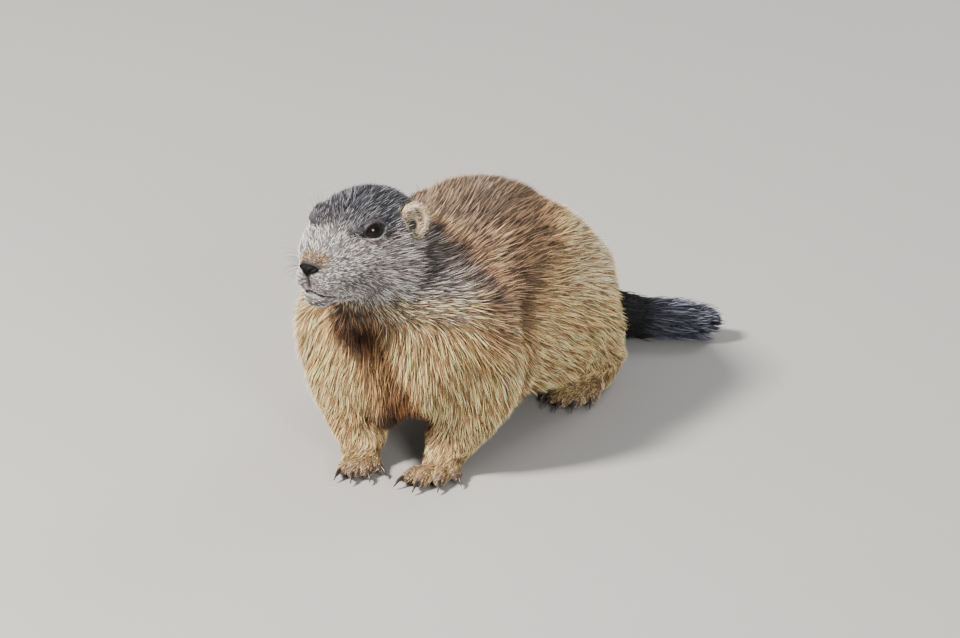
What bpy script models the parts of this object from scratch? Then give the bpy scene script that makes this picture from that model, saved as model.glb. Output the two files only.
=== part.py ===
"""Alpine marmot, life size, standing on all fours with its head raised and its tail laid out on the ground.

The flesh and coat are first one whole body. Tables of rings and ovals give the torso, neck, head, limbs
and tail their real sizes, a voxel remesh melts them together, and thin cuts then part the whole into the
pieces that a person would name. Metres, +Z up. The nose points along -Y and the animal's left is +X.
"""

import itertools
import math

import bmesh
import bpy
import numpy as np
from mathutils import Matrix, Vector
from mathutils.bvhtree import BVHTree

# Sizes that the whole object follows
GAP = 0.0003
VOXEL = 0.0022
RING_SIDES = 40
RING_STEPS = 4
BODY_FACES = 900
HEAD_FACES = 1150
FEET_FACES = 600
FEET_HEIGHT = 0.021

# Torso rings from chest to rump: x, y, z of the middle, half width, reach up, reach down
TORSO = (
    (0.006, -0.142, 0.095, 0.032, 0.030, 0.035),
    (0.004, -0.128, 0.095, 0.060, 0.050, 0.055),
    (0.001, -0.100, 0.098, 0.080, 0.072, 0.061),
    (0.000, -0.062, 0.100, 0.089, 0.083, 0.067),
    (0.000, -0.020, 0.100, 0.091, 0.087, 0.072),
    (0.000, 0.015, 0.100, 0.090, 0.087, 0.073),
    (0.000, 0.050, 0.096, 0.091, 0.087, 0.071),
    (0.000, 0.083, 0.089, 0.087, 0.072, 0.064),
    (0.000, 0.111, 0.083, 0.077, 0.058, 0.058),
    (0.000, 0.136, 0.076, 0.061, 0.051, 0.050),
    (0.000, 0.156, 0.069, 0.042, 0.035, 0.037),
    (0.000, 0.168, 0.064, 0.024, 0.018, 0.022),
)
# Neck rings from the skull to the shoulders, in the same order of sizes
NECK = (
    (-0.024, -0.108, 0.178, 0.043, 0.034, 0.050),
    (-0.020, -0.092, 0.168, 0.052, 0.036, 0.056),
    (-0.015, -0.072, 0.150, 0.067, 0.044, 0.060),
    (-0.007, -0.048, 0.130, 0.079, 0.058, 0.064),
    (0.000, -0.016, 0.114, 0.082, 0.070, 0.070),
)
THROAT = ((-0.008, -0.118, 0.128), (0.040, 0.026, 0.040))

# The head's own frame: its nose tip, how far it turns to the right, and how far it tips up
NOSE_TIP = Vector((-0.033, -0.183, 0.178))
HEAD_TURN = math.radians(7.0)
HEAD_TIP = math.radians(2.0)
# Head rings: back from the nose tip, height of the middle, half width, reach up, reach down
HEAD = (
    (0.0030, -0.0040, 0.0090, 0.0080, 0.0090),
    (0.0100, -0.0065, 0.0180, 0.0140, 0.0180),
    (0.0210, -0.0065, 0.0265, 0.0200, 0.0250),
    (0.0340, -0.0030, 0.0325, 0.0255, 0.0320),
    (0.0480, 0.0015, 0.0375, 0.0330, 0.0395),
    (0.0620, 0.0030, 0.0420, 0.0390, 0.0440),
    (0.0780, 0.0030, 0.0450, 0.0395, 0.0490),
    (0.0940, 0.0010, 0.0450, 0.0360, 0.0510),
    (0.1100, -0.0040, 0.0430, 0.0320, 0.0500),
)
# Ovals that swell each side of the head: back, left, up from the nose tip, then half sizes the same way
HEAD_OVALS = (
    ((0.0150, 0.0100, -0.0130), (0.0140, 0.0125, 0.0105)),
    ((0.0740, 0.0240, -0.0160), (0.0340, 0.0255, 0.0340)),
    ((0.0480, 0.0215, 0.0245), (0.0180, 0.0110, 0.0072)),
)
HEAD_POWERS = (0.88, 0.92)
CHIN = ((0.0185, 0.0, -0.0285), (0.0140, 0.0120, 0.0085))

# Each eyeball sits in a socket under two lids, and looks out, a little forward and a little up
EYE_PLACE = (0.0485, 0.0245, 0.0225)
EYE_RADIUS = 0.0092
LID_THICKNESS = 0.0015
LID_OPENING = (0.0090, 0.0066)
LID_TILT = math.radians(14.0)
EYE_LOOK = (-0.40, 0.88, 0.22)

# Each ear is a rounded cup, sunk in the side of the head behind the eye, the right one laid lower
EAR_PLACES = {"left": (0.0865, 0.0375, 0.0235), "right": (0.0845, 0.0415, 0.0085)}
EAR_HALF = (0.0062, 0.0118, 0.0138)
EAR_LOOK = (-0.72, 0.68, 0.12)
EAR_HOLLOW = 0.74
EAR_HOLLOW_SHIFT = 0.0042

# The bare nose is a pad as wide at the top as a heart, with a nostril in each side
NOSE_HALF_WIDTH = 0.0088
NOSE_TOP = 0.0056
NOSE_BOTTOM = 0.0088
NOSE_DEPTH = 0.0075
NOSE_PAD = ((0.0050, 0.0, -0.0030), (0.0062, 0.0088, 0.0068))
NOSTRIL = ((-0.0002, 0.0052, -0.0042), (0.0035, 0.0022, 0.0014))
NOSTRIL_TURN = math.radians(28.0)

# The mouth is a slit from one corner round the front of the jaw to the other: back, left, up
MOUTH = (
    (0.0065, 0.0000, -0.0215),
    (0.0085, 0.0060, -0.0224),
    (0.0130, 0.0125, -0.0238),
    (0.0200, 0.0185, -0.0252),
    (0.0290, 0.0225, -0.0265),
)
MOUTH_SLIT = 0.0012
MOUTH_INWARD = 0.0060
MOUTH_OUTWARD = 0.0070
LIP_RADIUS = 0.0026
LIP_INSET = 0.0018

# Leg rings down to the wrist or ankle: x, y, z of the middle, half width, reach forward, reach back
FORE_LEGS = {
    "left": (
        (0.056, -0.072, 0.100, 0.038, 0.040, 0.046),
        (0.058, -0.076, 0.078, 0.039, 0.039, 0.046),
        (0.057, -0.082, 0.058, 0.037, 0.036, 0.044),
        (0.054, -0.087, 0.043, 0.034, 0.032, 0.040),
        (0.049, -0.094, 0.029, 0.027, 0.026, 0.032),
        (0.046, -0.100, 0.017, 0.020, 0.020, 0.022),
        (0.045, -0.103, 0.008, 0.015, 0.016, 0.015),
    ),
    "right": (
        (-0.059, -0.076, 0.100, 0.040, 0.040, 0.046),
        (-0.054, -0.085, 0.078, 0.040, 0.039, 0.046),
        (-0.047, -0.097, 0.058, 0.037, 0.035, 0.043),
        (-0.041, -0.105, 0.043, 0.034, 0.031, 0.038),
        (-0.031, -0.114, 0.030, 0.028, 0.025, 0.031),
        (-0.021, -0.121, 0.018, 0.019, 0.018, 0.021),
        (-0.019, -0.124, 0.008, 0.014, 0.014, 0.015),
    ),
}
HIND_LEG = (
    (0.052, 0.078, 0.080, 0.036, 0.040, 0.042),
    (0.056, 0.084, 0.058, 0.034, 0.040, 0.038),
    (0.058, 0.092, 0.038, 0.028, 0.036, 0.030),
    (0.058, 0.104, 0.022, 0.021, 0.028, 0.022),
    (0.058, 0.110, 0.009, 0.015, 0.020, 0.016),
)
# Rounded masses of muscle and hanging coat on each side: middle, then half sizes
MASSES = (
    ((0.056, -0.070, 0.098), (0.039, 0.050, 0.058)),
    ((0.060, -0.052, 0.062), (0.030, 0.040, 0.036)),
    ((0.045, 0.081, 0.072), (0.042, 0.047, 0.058)),
    ((0.055, 0.010, 0.060), (0.029, 0.046, 0.030)),
    ((0.060, 0.050, 0.053), (0.026, 0.042, 0.034)),
)
RIGHT_SHOULDER = ((-0.060, -0.080, 0.090), (0.042, 0.050, 0.058))
TRUNK_POWERS = (1.0, 0.72)

# Feet: place of the heel of the hand or foot, then each toe's turn to the left and its reach
FEET = {
    "fore_foot_left": {
        "heel": (0.043, -0.101),
        "palm": 0.023,
        "toes": ((-12.0, 0.052), (5.0, 0.054), (23.0, 0.048), (44.0, 0.037)),
    },
    "fore_foot_right": {
        "heel": (-0.020, -0.123),
        "palm": 0.018,
        "toes": ((5.0, 0.040), (21.0, 0.043), (38.0, 0.041), (58.0, 0.033)),
    },
    "hind_foot_left": {
        "heel": (0.058, 0.118),
        "palm": 0.050,
        "toes": ((-13.0, 0.066), (-5.0, 0.076), (3.0, 0.079), (11.0, 0.075), (20.0, 0.064)),
    },
    "hind_foot_right": {
        "heel": (-0.058, 0.118),
        "palm": 0.050,
        "toes": ((13.0, 0.066), (5.0, 0.076), (-3.0, 0.079), (-11.0, 0.075), (-20.0, 0.064)),
    },
}
TOE_RADIUS = 0.0058
TOE_LENGTH = 0.020
PALM_HEIGHT = 0.0130
PALM_HALF_WIDTH = 0.0165
# Rings of a toe: share of its length, height over its radius, width over its radius
TOE_RINGS = ((0.0, 1.35, 1.05), (0.4, 1.30, 1.08), (0.75, 0.95, 1.0), (1.0, 0.75, 0.62))
CLAW_LENGTH = 0.0100
CLAW_RADIUS = 0.0021
CLAW_STEPS = 3

# Tail from the rump to its tip: x, y, z of the middle and the radius out to the ends of the hairs
TAIL = (
    (0.000, 0.138, 0.068, 0.025),
    (0.005, 0.160, 0.053, 0.0240),
    (0.019, 0.180, 0.038, 0.0230),
    (0.040, 0.196, 0.0275, 0.0225),
    (0.058, 0.206, 0.0240, 0.0225),
    (0.072, 0.212, 0.0235, 0.0210),
    (0.083, 0.216, 0.0230, 0.0175),
    (0.088, 0.218, 0.0225, 0.0090),
)
TAIL_SPLIT = 4

# Thin cuts that part the whole body: ovals round the head and neck, and heights for the feet
HEAD_REGION = ((0.0500, 0.0, 0.0030), (0.0660, 0.2200, 0.0510))
NECK_REGION = ((-0.012, -0.099, 0.153), (0.120, 0.068, 0.068))
WRIST_HEIGHT = 0.0230
WRIST_WAY = (0.0, -0.30, -1.0)
ANKLE_HEIGHT = 0.0200
ANKLE_WAY = (0.0, -0.10, -1.0)
REGION_SIDES = 12
REGION_STEPS = 1
# Round regions that hold each leg: middle and half sizes at the top, then at the foot
FORE_REGIONS = {
    "left": (
        (0.090, -0.066, 0.126, 0.008, 0.010, 0.010),
        (0.090, -0.068, 0.120, 0.026, 0.028, 0.028),
        (0.086, -0.070, 0.104, 0.040, 0.042, 0.040),
        (0.078, -0.074, 0.080, 0.048, 0.050, 0.052),
        (0.066, -0.082, 0.055, 0.048, 0.056, 0.066),
        (0.056, -0.096, 0.030, 0.044, 0.066, 0.070),
        (0.052, -0.104, -0.010, 0.042, 0.074, 0.060),
    ),
    "right": (
        (-0.092, -0.074, 0.126, 0.008, 0.010, 0.010),
        (-0.092, -0.075, 0.120, 0.026, 0.028, 0.028),
        (-0.088, -0.076, 0.104, 0.040, 0.042, 0.040),
        (-0.078, -0.080, 0.080, 0.048, 0.050, 0.052),
        (-0.060, -0.092, 0.055, 0.048, 0.056, 0.066),
        (-0.038, -0.110, 0.030, 0.044, 0.066, 0.070),
        (-0.028, -0.118, -0.010, 0.042, 0.070, 0.060),
    ),
}
HIND_REGION = (
    (0.088, 0.078, 0.122, 0.008, 0.010, 0.010),
    (0.088, 0.078, 0.116, 0.026, 0.028, 0.028),
    (0.087, 0.078, 0.100, 0.040, 0.044, 0.040),
    (0.082, 0.076, 0.076, 0.050, 0.058, 0.052),
    (0.074, 0.074, 0.050, 0.050, 0.066, 0.056),
    (0.066, 0.074, 0.026, 0.046, 0.072, 0.058),
    (0.062, 0.074, -0.010, 0.042, 0.076, 0.060),
)
TAIL_REGION_WIDER = 0.012
TAIL_REGION_END = (0.145, 0.246, 0.016, 0.020)

# How far the core lies inside the tips of the coat, from the thick coat of the trunk to the short one below
TRUNK_COAT = 0.0055
NECK_COAT = 0.0045
LEG_COATS = (0.0050, 0.0050, 0.0045, 0.0035, 0.0020, 0.0005, 0.0)
TAIL_CORE = 0.70
TAIL_CORE_DROP = 0.0068

# Locks of each furred node: spacing of the roots along and across the lie, then the length, the width
# and the height of the tips over the core
LOCKS = {
    "torso": (0.042, 0.0210, 0.060, 0.0240, 0.0058),
    "neck": (0.036, 0.0200, 0.050, 0.0215, 0.0050),
    "fore_leg_left": (0.033, 0.0205, 0.040, 0.0215, 0.0046),
    "fore_leg_right": (0.033, 0.0205, 0.040, 0.0215, 0.0046),
    "hind_leg_left": (0.035, 0.0205, 0.046, 0.0220, 0.0060),
    "hind_leg_right": (0.035, 0.0205, 0.046, 0.0220, 0.0060),
    "tail_base": (0.019, 0.0105, 0.034, 0.0150, 0.0075),
    "tail_tip": (0.015, 0.0095, 0.030, 0.0140, 0.0075),
}
# Rings of a lock: share of its length, of its width, of its height, and thickness against the width
LOCK_RINGS = (
    (0.0, 0.60, -0.60, 0.24),
    (0.42, 1.00, 0.36, 0.17),
    (0.74, 0.70, 0.70, 0.13),
    (1.0, 0.0, 1.0, 0.0),
)
LOCK_SHARES = (1.0, 0.82, 0.66, 0.52, 0.42)
# Turns off the lie, in degrees, that a lock tries where another node is in its way
LOCK_TURNS = (0.0, -22.0, 22.0, -44.0, 44.0)
LOCK_CLEARANCE = 0.0008
LOCK_SEED = 7
LOCK_TRIALS = 7000
TAIL_TRIALS = 9.0
TAIL_END_SHARE = 0.5
LOCK_UNDERSIDE = -0.40

COLOURS = {
    "head": (0.250, 0.235, 0.215, 0.9),
    "nose": (0.015, 0.014, 0.014, 0.45),
    "eye": (0.008, 0.006, 0.005, 0.08),
    "ear": (0.270, 0.190, 0.110, 0.9),
    "neck": (0.300, 0.215, 0.140, 0.9),
    "torso": (0.330, 0.235, 0.140, 0.9),
    "fore_leg": (0.400, 0.270, 0.140, 0.9),
    "fore_foot": (0.170, 0.120, 0.080, 0.8),
    "hind_leg": (0.350, 0.240, 0.130, 0.9),
    "hind_foot": (0.170, 0.120, 0.080, 0.8),
    "tail": (0.020, 0.020, 0.024, 0.9),
}


def make_object(name, bm):
    """Turn a bmesh into an object whose faces look outwards."""
    bmesh.ops.recalc_face_normals(bm, faces=bm.faces)
    mesh = bpy.data.meshes.new(name)
    bm.to_mesh(mesh)
    bm.free()
    obj = bpy.data.objects.new(name, mesh)
    bpy.context.scene.collection.objects.link(obj)
    return obj


def remove(objects):
    """Delete helper objects."""
    for obj in objects:
        bpy.data.objects.remove(obj, do_unlink=True)


def smooth_rows(rows, steps=RING_STEPS):
    """Pass a smooth curve through rows of sizes and read it at even steps."""
    table = np.array(rows, dtype=float)
    before = 2.0 * table[0] - table[1]
    after = 2.0 * table[-1] - table[-2]
    padded = np.vstack((before, table, after))
    result = []
    for index in range(len(table) - 1):
        p0, p1, p2, p3 = padded[index:index + 4]
        for step in range(steps):
            t = step / steps
            line = 2.0 * p1 + (p2 - p0) * t
            bend = (2.0 * p0 - 5.0 * p1 + 4.0 * p2 - p3) * t ** 2
            twist = (3.0 * p1 - p0 - 3.0 * p2 + p3) * t ** 3
            result.append(0.5 * (line + bend + twist))
    result.append(table[-1])
    return result


def loft(name, sections, sides=RING_SIDES, powers=(1.0, 1.0)):
    """Close a skin over sections given as middle, side way, up way, half width, reach up and reach down.

    Powers under one make the upper and the lower half of each section fuller at its sides.
    """
    bm = bmesh.new()
    rings = []
    for middle, side, up, half, high, low in sections:
        ring = []
        for index in range(sides):
            angle = 2.0 * math.pi * index / sides
            power = powers[0] if math.sin(angle) >= 0.0 else powers[1]
            reach = high if math.sin(angle) >= 0.0 else low
            across = half * math.copysign(abs(math.cos(angle)) ** power, math.cos(angle))
            rise = reach * math.copysign(abs(math.sin(angle)) ** power, math.sin(angle))
            ring.append(bm.verts.new(middle + side * across + up * rise))
        rings.append(ring)
    for one, other in zip(rings, rings[1:]):
        for index in range(sides):
            following = (index + 1) % sides
            bm.faces.new((one[index], one[following], other[following], other[index]))
    bm.faces.new(rings[0])
    bm.faces.new(rings[-1])
    return make_object(name, bm)


def upright_rings(rows):
    """Sections that stand across the body, for the torso and neck."""
    ways = Vector((1.0, 0.0, 0.0)), Vector((0.0, 0.0, 1.0))
    return [(Vector(row[:3]), *ways, *row[3:]) for row in smooth_rows(rows)]


def level_rings(rows, steps=RING_STEPS):
    """Sections that lie flat, for the legs."""
    ways = Vector((1.0, 0.0, 0.0)), Vector((0.0, -1.0, 0.0))
    return [(Vector(row[:3]), *ways, *row[3:]) for row in smooth_rows(rows, steps)]


def path_rings(rows):
    """Round sections along a path of points and radii, for the tail, toes and claws."""
    points = [Vector(row[:3]) for row in rows]
    sections = []
    for index, row in enumerate(rows):
        ahead = points[min(index + 1, len(points) - 1)]
        behind = points[max(index - 1, 0)]
        way = (ahead - behind).normalized()
        side = way.cross(Vector((0.0, 0.0, 1.0))).normalized()
        up = side.cross(way)
        sections.append((points[index], side, up, row[3], row[3], row[3]))
    return sections


def inset(rows, *coats):
    """Ring sizes drawn in by the depth of the coat, the same for all rows or one for each."""
    depths = coats if len(coats) > 1 else coats * len(rows)
    return tuple((*row[:3], *(size - depth for size in row[3:])) for row, depth in zip(rows, depths))


def side_of(rows, side):
    """Sizes given for the left, on the left for 1 or on the right for -1."""
    return tuple((side * row[0], *row[1:]) for row in rows)


def oval(name, matrix, half, across=32, along=20):
    """An ellipsoid in the frame of a matrix."""
    bm = bmesh.new()
    bmesh.ops.create_uvsphere(bm, u_segments=across, v_segments=along, radius=1.0)
    size = Matrix.Diagonal((*half, 1.0))
    bmesh.ops.transform(bm, matrix=matrix @ size, verts=bm.verts)
    return make_object(name, bm)


def merge(name, objects):
    """Gather the shells of many objects in one, and delete them."""
    bm = bmesh.new()
    for obj in objects:
        bm.from_mesh(obj.data)
    remove(objects)
    mesh = bpy.data.meshes.new(name)
    bm.to_mesh(mesh)
    bm.free()
    merged = bpy.data.objects.new(name, mesh)
    bpy.context.scene.collection.objects.link(merged)
    return merged


def apply_modifiers(obj):
    """Make what an object's modifiers show its own mesh."""
    graph = bpy.context.evaluated_depsgraph_get()
    mesh = bpy.data.meshes.new_from_object(obj.evaluated_get(graph))
    obj.modifiers.clear()
    obj.data = mesh


def boolean(obj, cutter, operation, solver="EXACT"):
    """Cut, join or intersect an object with another one."""
    modifier = obj.modifiers.new(operation, "BOOLEAN")
    modifier.operation = operation
    modifier.object = cutter
    modifier.solver = solver
    apply_modifiers(obj)


def copy_of(obj, name):
    """A second object with the same mesh."""
    duplicate = bpy.data.objects.new(name, obj.data.copy())
    bpy.context.scene.collection.objects.link(duplicate)
    return duplicate


def keep_largest(obj):
    """Keep only the largest closed surface of an object."""
    bm = bmesh.new()
    bm.from_mesh(obj.data)
    todo = set(bm.verts)
    groups = []
    while todo:
        stack = [todo.pop()]
        group = list(stack)
        while stack:
            vert = stack.pop()
            for edge in vert.link_edges:
                other = edge.other_vert(vert)
                if other in todo:
                    todo.remove(other)
                    stack.append(other)
                    group.append(other)
        groups.append(group)
    groups.sort(key=len)
    for group in groups[:-1]:
        bmesh.ops.delete(bm, geom=group, context="VERTS")
    bmesh.ops.recalc_face_normals(bm, faces=bm.faces)
    bm.to_mesh(obj.data)
    bm.free()


def half_space(name, point, normal, push):
    """A large block whose flat face passes a point, pushed along the normal."""
    size = 0.8
    turn = Vector(normal).to_track_quat("Z", "Y").to_matrix().to_4x4()
    middle = Vector(point) + Vector(normal).normalized() * (push + size / 2.0)
    bm = bmesh.new()
    bmesh.ops.create_cube(bm, size=size)
    bmesh.ops.transform(bm, matrix=Matrix.Translation(middle) @ turn, verts=bm.verts)
    return make_object(name, bm)


def split_by_plane(obj, name, point, normal):
    """Part off the piece that lies ahead of a plane, with a thin gap between the two."""
    piece = copy_of(obj, name)
    ahead = half_space("ahead", point, normal, GAP / 2.0)
    boolean(piece, ahead, "INTERSECT")
    wider = half_space("wider", point, normal, -GAP / 2.0)
    boolean(obj, wider, "DIFFERENCE")
    remove((ahead, wider))
    keep_largest(piece)
    keep_largest(obj)
    return piece


def triangulate(obj):
    """Split faces into triangles, so that a copy has just the same ones."""
    bm = bmesh.new()
    bm.from_mesh(obj.data)
    bmesh.ops.triangulate(bm, faces=bm.faces)
    bm.to_mesh(obj.data)
    bm.free()


def inflated(obj, distance):
    """A copy of a closed shape with its whole surface moved outwards."""
    wider = copy_of(obj, obj.name + "_wider")
    bm = bmesh.new()
    bm.from_mesh(wider.data)
    bm.normal_update()
    moves = [vert.normal * distance * vert.calc_shell_factor() for vert in bm.verts]
    for vert, move in zip(bm.verts, moves):
        vert.co += move
    bm.to_mesh(wider.data)
    bm.free()
    return wider


def split_by_region(obj, name, region):
    """Part off what lies in a closed region, with a thin gap around it."""
    piece = copy_of(obj, name)
    boolean(piece, region, "INTERSECT")
    wider = inflated(region, GAP)
    boolean(obj, wider, "DIFFERENCE")
    remove((region, wider))
    keep_largest(piece)
    keep_largest(obj)
    return piece


def leg_region(rows):
    """The closed region of one leg."""
    return loft("region", level_rings(rows, REGION_STEPS), sides=REGION_SIDES)


def tail_region():
    """The closed region of the whole tail."""
    wider = [(*row[:3], row[3] + TAIL_REGION_WIDER) for row in TAIL[1:]]
    wider.append(TAIL_REGION_END)
    return loft("region", path_rings(smooth_rows(wider, REGION_STEPS)), sides=REGION_SIDES)


def head_frame():
    """The head's matrix: back, left and up from the nose tip."""
    back = Vector((math.sin(HEAD_TURN), math.cos(HEAD_TURN), -math.sin(HEAD_TIP))).normalized()
    left = Vector((math.cos(HEAD_TURN), -math.sin(HEAD_TURN), 0.0))
    up = back.cross(left)
    up = up if up.z > 0.0 else -up
    rotation = Matrix((back, left, up)).transposed().to_4x4()
    return Matrix.Translation(NOSE_TIP) @ rotation


def looking_frame(place, look, side):
    """A frame at a place of the head whose own X looks out, and whose Z stays near the head's up."""
    head = head_frame()
    middle = head @ Vector((place[0], side * place[1], place[2]))
    turn = head.to_3x3()
    out = (turn @ Vector((look[0], side * look[1], look[2]))).normalized()
    up = turn @ Vector((0.0, 0.0, 1.0))
    level = up.cross(out).normalized()
    up = out.cross(level)
    rotation = Matrix((out, level, up)).transposed().to_4x4()
    return Matrix.Translation(middle) @ rotation


def head_shells():
    """The shells of the head before they melt together."""
    head = head_frame()
    turn = head.to_3x3()
    left = turn @ Vector((0.0, 1.0, 0.0))
    up = turn @ Vector((0.0, 0.0, 1.0))
    sections = []
    for row in smooth_rows(HEAD):
        middle = head @ Vector((row[0], 0.0, row[1]))
        sections.append((middle, left, up, row[2], row[3], row[4]))
    shells = [loft("skull", sections, powers=HEAD_POWERS)]
    for side in (1.0, -1.0):
        for place, half in HEAD_OVALS:
            middle = Vector((place[0], side * place[1], place[2]))
            shells.append(oval("swelling", head @ Matrix.Translation(middle), half))
        lids = looking_frame(EYE_PLACE, EYE_LOOK, side)
        radius = EYE_RADIUS + GAP + LID_THICKNESS
        shells.append(oval("lids", lids, (radius, radius, radius)))
        for rise in (LIP_RADIUS * 0.85, -LIP_RADIUS * 0.85):
            shells.append(loft("lip", lip_rings(side, rise), sides=10))
    shells.append(oval("chin", head @ Matrix.Translation(CHIN[0]), CHIN[1]))
    shells.append(oval("pad", head @ Matrix.Translation(NOSE_PAD[0]), NOSE_PAD[1]))
    return shells


def lip_rings(side, rise):
    """A rounded lip above or below the mouth, from the middle to one corner."""
    head = head_frame()
    rows = []
    for row in smooth_rows(MOUTH):
        inward = Vector((row[0] + LIP_INSET, side * (row[1] - LIP_INSET), row[2] + rise))
        rows.append((*(head @ inward), LIP_RADIUS))
    return path_rings(rows)


def mouth_cutter():
    """A thin bent blade along the line of the mouth."""
    head = head_frame()
    rows = smooth_rows(MOUTH, 1)
    line = [(row[0], -row[1], row[2]) for row in reversed(rows[1:])]
    line += [tuple(row) for row in rows]
    bm = bmesh.new()
    rings = []
    for index, here in enumerate(line):
        ahead = line[min(index + 1, len(line) - 1)]
        behind = line[max(index - 1, 0)]
        way = Vector((ahead[0] - behind[0], ahead[1] - behind[1], 0.0)).normalized()
        out = Vector((-way.y, way.x, 0.0))
        if out.x * (0.03 - here[0]) + out.y * -here[1] > 0.0:
            out = -out
        place = Vector(here)
        ring = []
        for reach, rise in (
            (MOUTH_OUTWARD, 1.0),
            (-MOUTH_INWARD, 0.35),
            (-MOUTH_INWARD, -0.35),
            (MOUTH_OUTWARD, -1.0),
        ):
            point = place + out * reach + Vector((0.0, 0.0, rise * MOUTH_SLIT / 2.0))
            ring.append(bm.verts.new(head @ point))
        rings.append(ring)
    for one, other in zip(rings, rings[1:]):
        for index in range(4):
            following = (index + 1) % 4
            bm.faces.new((one[index], one[following], other[following], other[index]))
    bm.faces.new(rings[0])
    bm.faces.new(rings[-1])
    bmesh.ops.triangulate(bm, faces=bm.faces)
    return make_object("mouth", bm)


def nose_prism():
    """The heart shaped column that parts the bare nose from the muzzle."""
    head = head_frame()
    bm = bmesh.new()
    rings = []
    for back in (-0.02, NOSE_DEPTH):
        ring = []
        for index in range(24):
            angle = 2.0 * math.pi * index / 24
            low = max(0.0, -math.sin(angle))
            width = NOSE_HALF_WIDTH * (1.0 - 0.45 * low ** 1.5)
            height = NOSE_TOP if math.sin(angle) > 0.0 else NOSE_BOTTOM
            point = Vector((back, width * math.cos(angle), -0.0025 + height * math.sin(angle)))
            ring.append(bm.verts.new(head @ point))
        rings.append(ring)
    for index in range(24):
        following = (index + 1) % 24
        bm.faces.new((rings[0][index], rings[0][following], rings[1][following], rings[1][index]))
    bm.faces.new(rings[0])
    bm.faces.new(rings[1])
    return make_object("nose_prism", bm)


def foot_shells(foot):
    """The palm and toes of one foot."""
    heel = Vector((*foot["heel"], 0.0))
    turns = [math.radians(turn) for turn, reach in foot["toes"]]
    middle = sum(turns) / len(turns)
    way = Vector((math.sin(middle), -math.cos(middle), 0.0))
    centre = heel + way * (foot["palm"] * 0.62) + Vector((0.0, 0.0, PALM_HEIGHT * 0.62))
    frame = Matrix.Translation(centre) @ Matrix.Rotation(middle, 4, "Z")
    palm = (PALM_HALF_WIDTH, foot["palm"] * 0.78, PALM_HEIGHT * 0.80)
    shells = [oval("palm", frame, palm)]
    for turn, reach in zip(turns, [reach for degrees, reach in foot["toes"]]):
        out = Vector((math.sin(turn), -math.cos(turn), 0.0))
        rows = []
        for share, lift, width in TOE_RINGS:
            place = heel + out * (reach - TOE_LENGTH * (1.0 - share))
            rows.append((place.x, place.y, TOE_RADIUS * lift, TOE_RADIUS * width))
        shells.append(loft("toe", path_rings(rows), sides=16))
    return shells


def claws(foot):
    """One curved claw for each toe of a foot."""
    heel = Vector((*foot["heel"], 0.0))
    made = []
    for degrees, reach in foot["toes"]:
        turn = math.radians(degrees)
        out = Vector((math.sin(turn), -math.cos(turn), 0.0))
        rows = []
        for step in range(CLAW_STEPS + 1):
            share = step / CLAW_STEPS
            place = heel + out * (reach - 0.005 + (CLAW_LENGTH + 0.003) * share)
            height = TOE_RADIUS * 0.95 + 0.0012 * math.sin(math.pi * share) - 0.0032 * share ** 2
            rows.append((place.x, place.y, height, CLAW_RADIUS * (1.0 - share) ** 0.7 + 0.0003))
        made.append(loft("claw", path_rings(rows), sides=4))
    return made


def decimate(obj, group_name, weights, faces):
    """Lower the count of faces where the weights are one, to a given number."""
    group = obj.vertex_groups.new(name=group_name)
    chosen = [int(index) for index in np.nonzero(weights)[0]]
    group.add(chosen, 1.0, "REPLACE")
    triangles = sum(len(face.vertices) - 2 for face in obj.data.polygons)
    inside = sum(len(f.vertices) - 2 for f in obj.data.polygons if all(weights[v] for v in f.vertices))
    modifier = obj.modifiers.new("decimate", "DECIMATE")
    modifier.vertex_group = group_name
    modifier.ratio = (triangles - inside + faces) / triangles
    apply_modifiers(obj)
    obj.vertex_groups.clear()


def is_head(obj):
    """True for each vertex that belongs to the head."""
    inverse = (head_frame() @ Matrix.Translation(HEAD_REGION[0])).inverted()
    size = np.array(HEAD_REGION[1])
    places = np.array([inverse @ vert.co for vert in obj.data.vertices])
    return np.sum((places / size) ** 2, axis=1) < 1.05


def is_foot(obj):
    """True for each vertex low on the legs, and false on the tail."""
    return np.array([vert.co.z < FEET_HEIGHT and vert.co.y < TAIL[0][1] for vert in obj.data.vertices])


def whole_body():
    """Melt all shells of flesh and coat into one closed body."""
    trunk = loft("trunk", upright_rings(inset(TORSO, TRUNK_COAT)), powers=TRUNK_POWERS)
    shells = [trunk, loft("nape", upright_rings(inset(NECK, NECK_COAT)))]
    shells += head_shells()
    shells.append(oval("throat", Matrix.Translation(THROAT[0]), THROAT[1]))
    for side in (1.0, -1.0):
        for place, half in MASSES:
            core = [size - TRUNK_COAT for size in half]
            shells.append(oval("mass", Matrix.Translation((side * place[0], *place[1:])), core))
        shells.append(loft("hind", level_rings(inset(side_of(HIND_LEG, side), *LEG_COATS[2:]))))
    core = [size - TRUNK_COAT for size in RIGHT_SHOULDER[1]]
    shells.append(oval("mass", Matrix.Translation(RIGHT_SHOULDER[0]), core))
    for rows in FORE_LEGS.values():
        shells.append(loft("fore", level_rings(inset(rows, *LEG_COATS))))
    for foot in FEET.values():
        shells += foot_shells(foot)
    tail = []
    for x, y, z, reach in TAIL:
        radius = reach * TAIL_CORE
        tail.append((x, y, max(z - TAIL_CORE_DROP, radius), radius))
    shells.append(loft("tail", path_rings(smooth_rows(tail))))
    body = merge("body", shells)
    remesh = body.modifiers.new("melt", "REMESH")
    remesh.mode = "VOXEL"
    remesh.voxel_size = VOXEL
    smooth = body.modifiers.new("smooth", "SMOOTH")
    smooth.factor = 0.5
    smooth.iterations = 8
    apply_modifiers(body)
    triangulate(body)
    decimate(body, "rest", ~(is_head(body) | is_foot(body)), BODY_FACES)
    decimate(body, "face", is_head(body), HEAD_FACES)
    decimate(body, "feet", is_foot(body), FEET_FACES)
    return body


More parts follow.
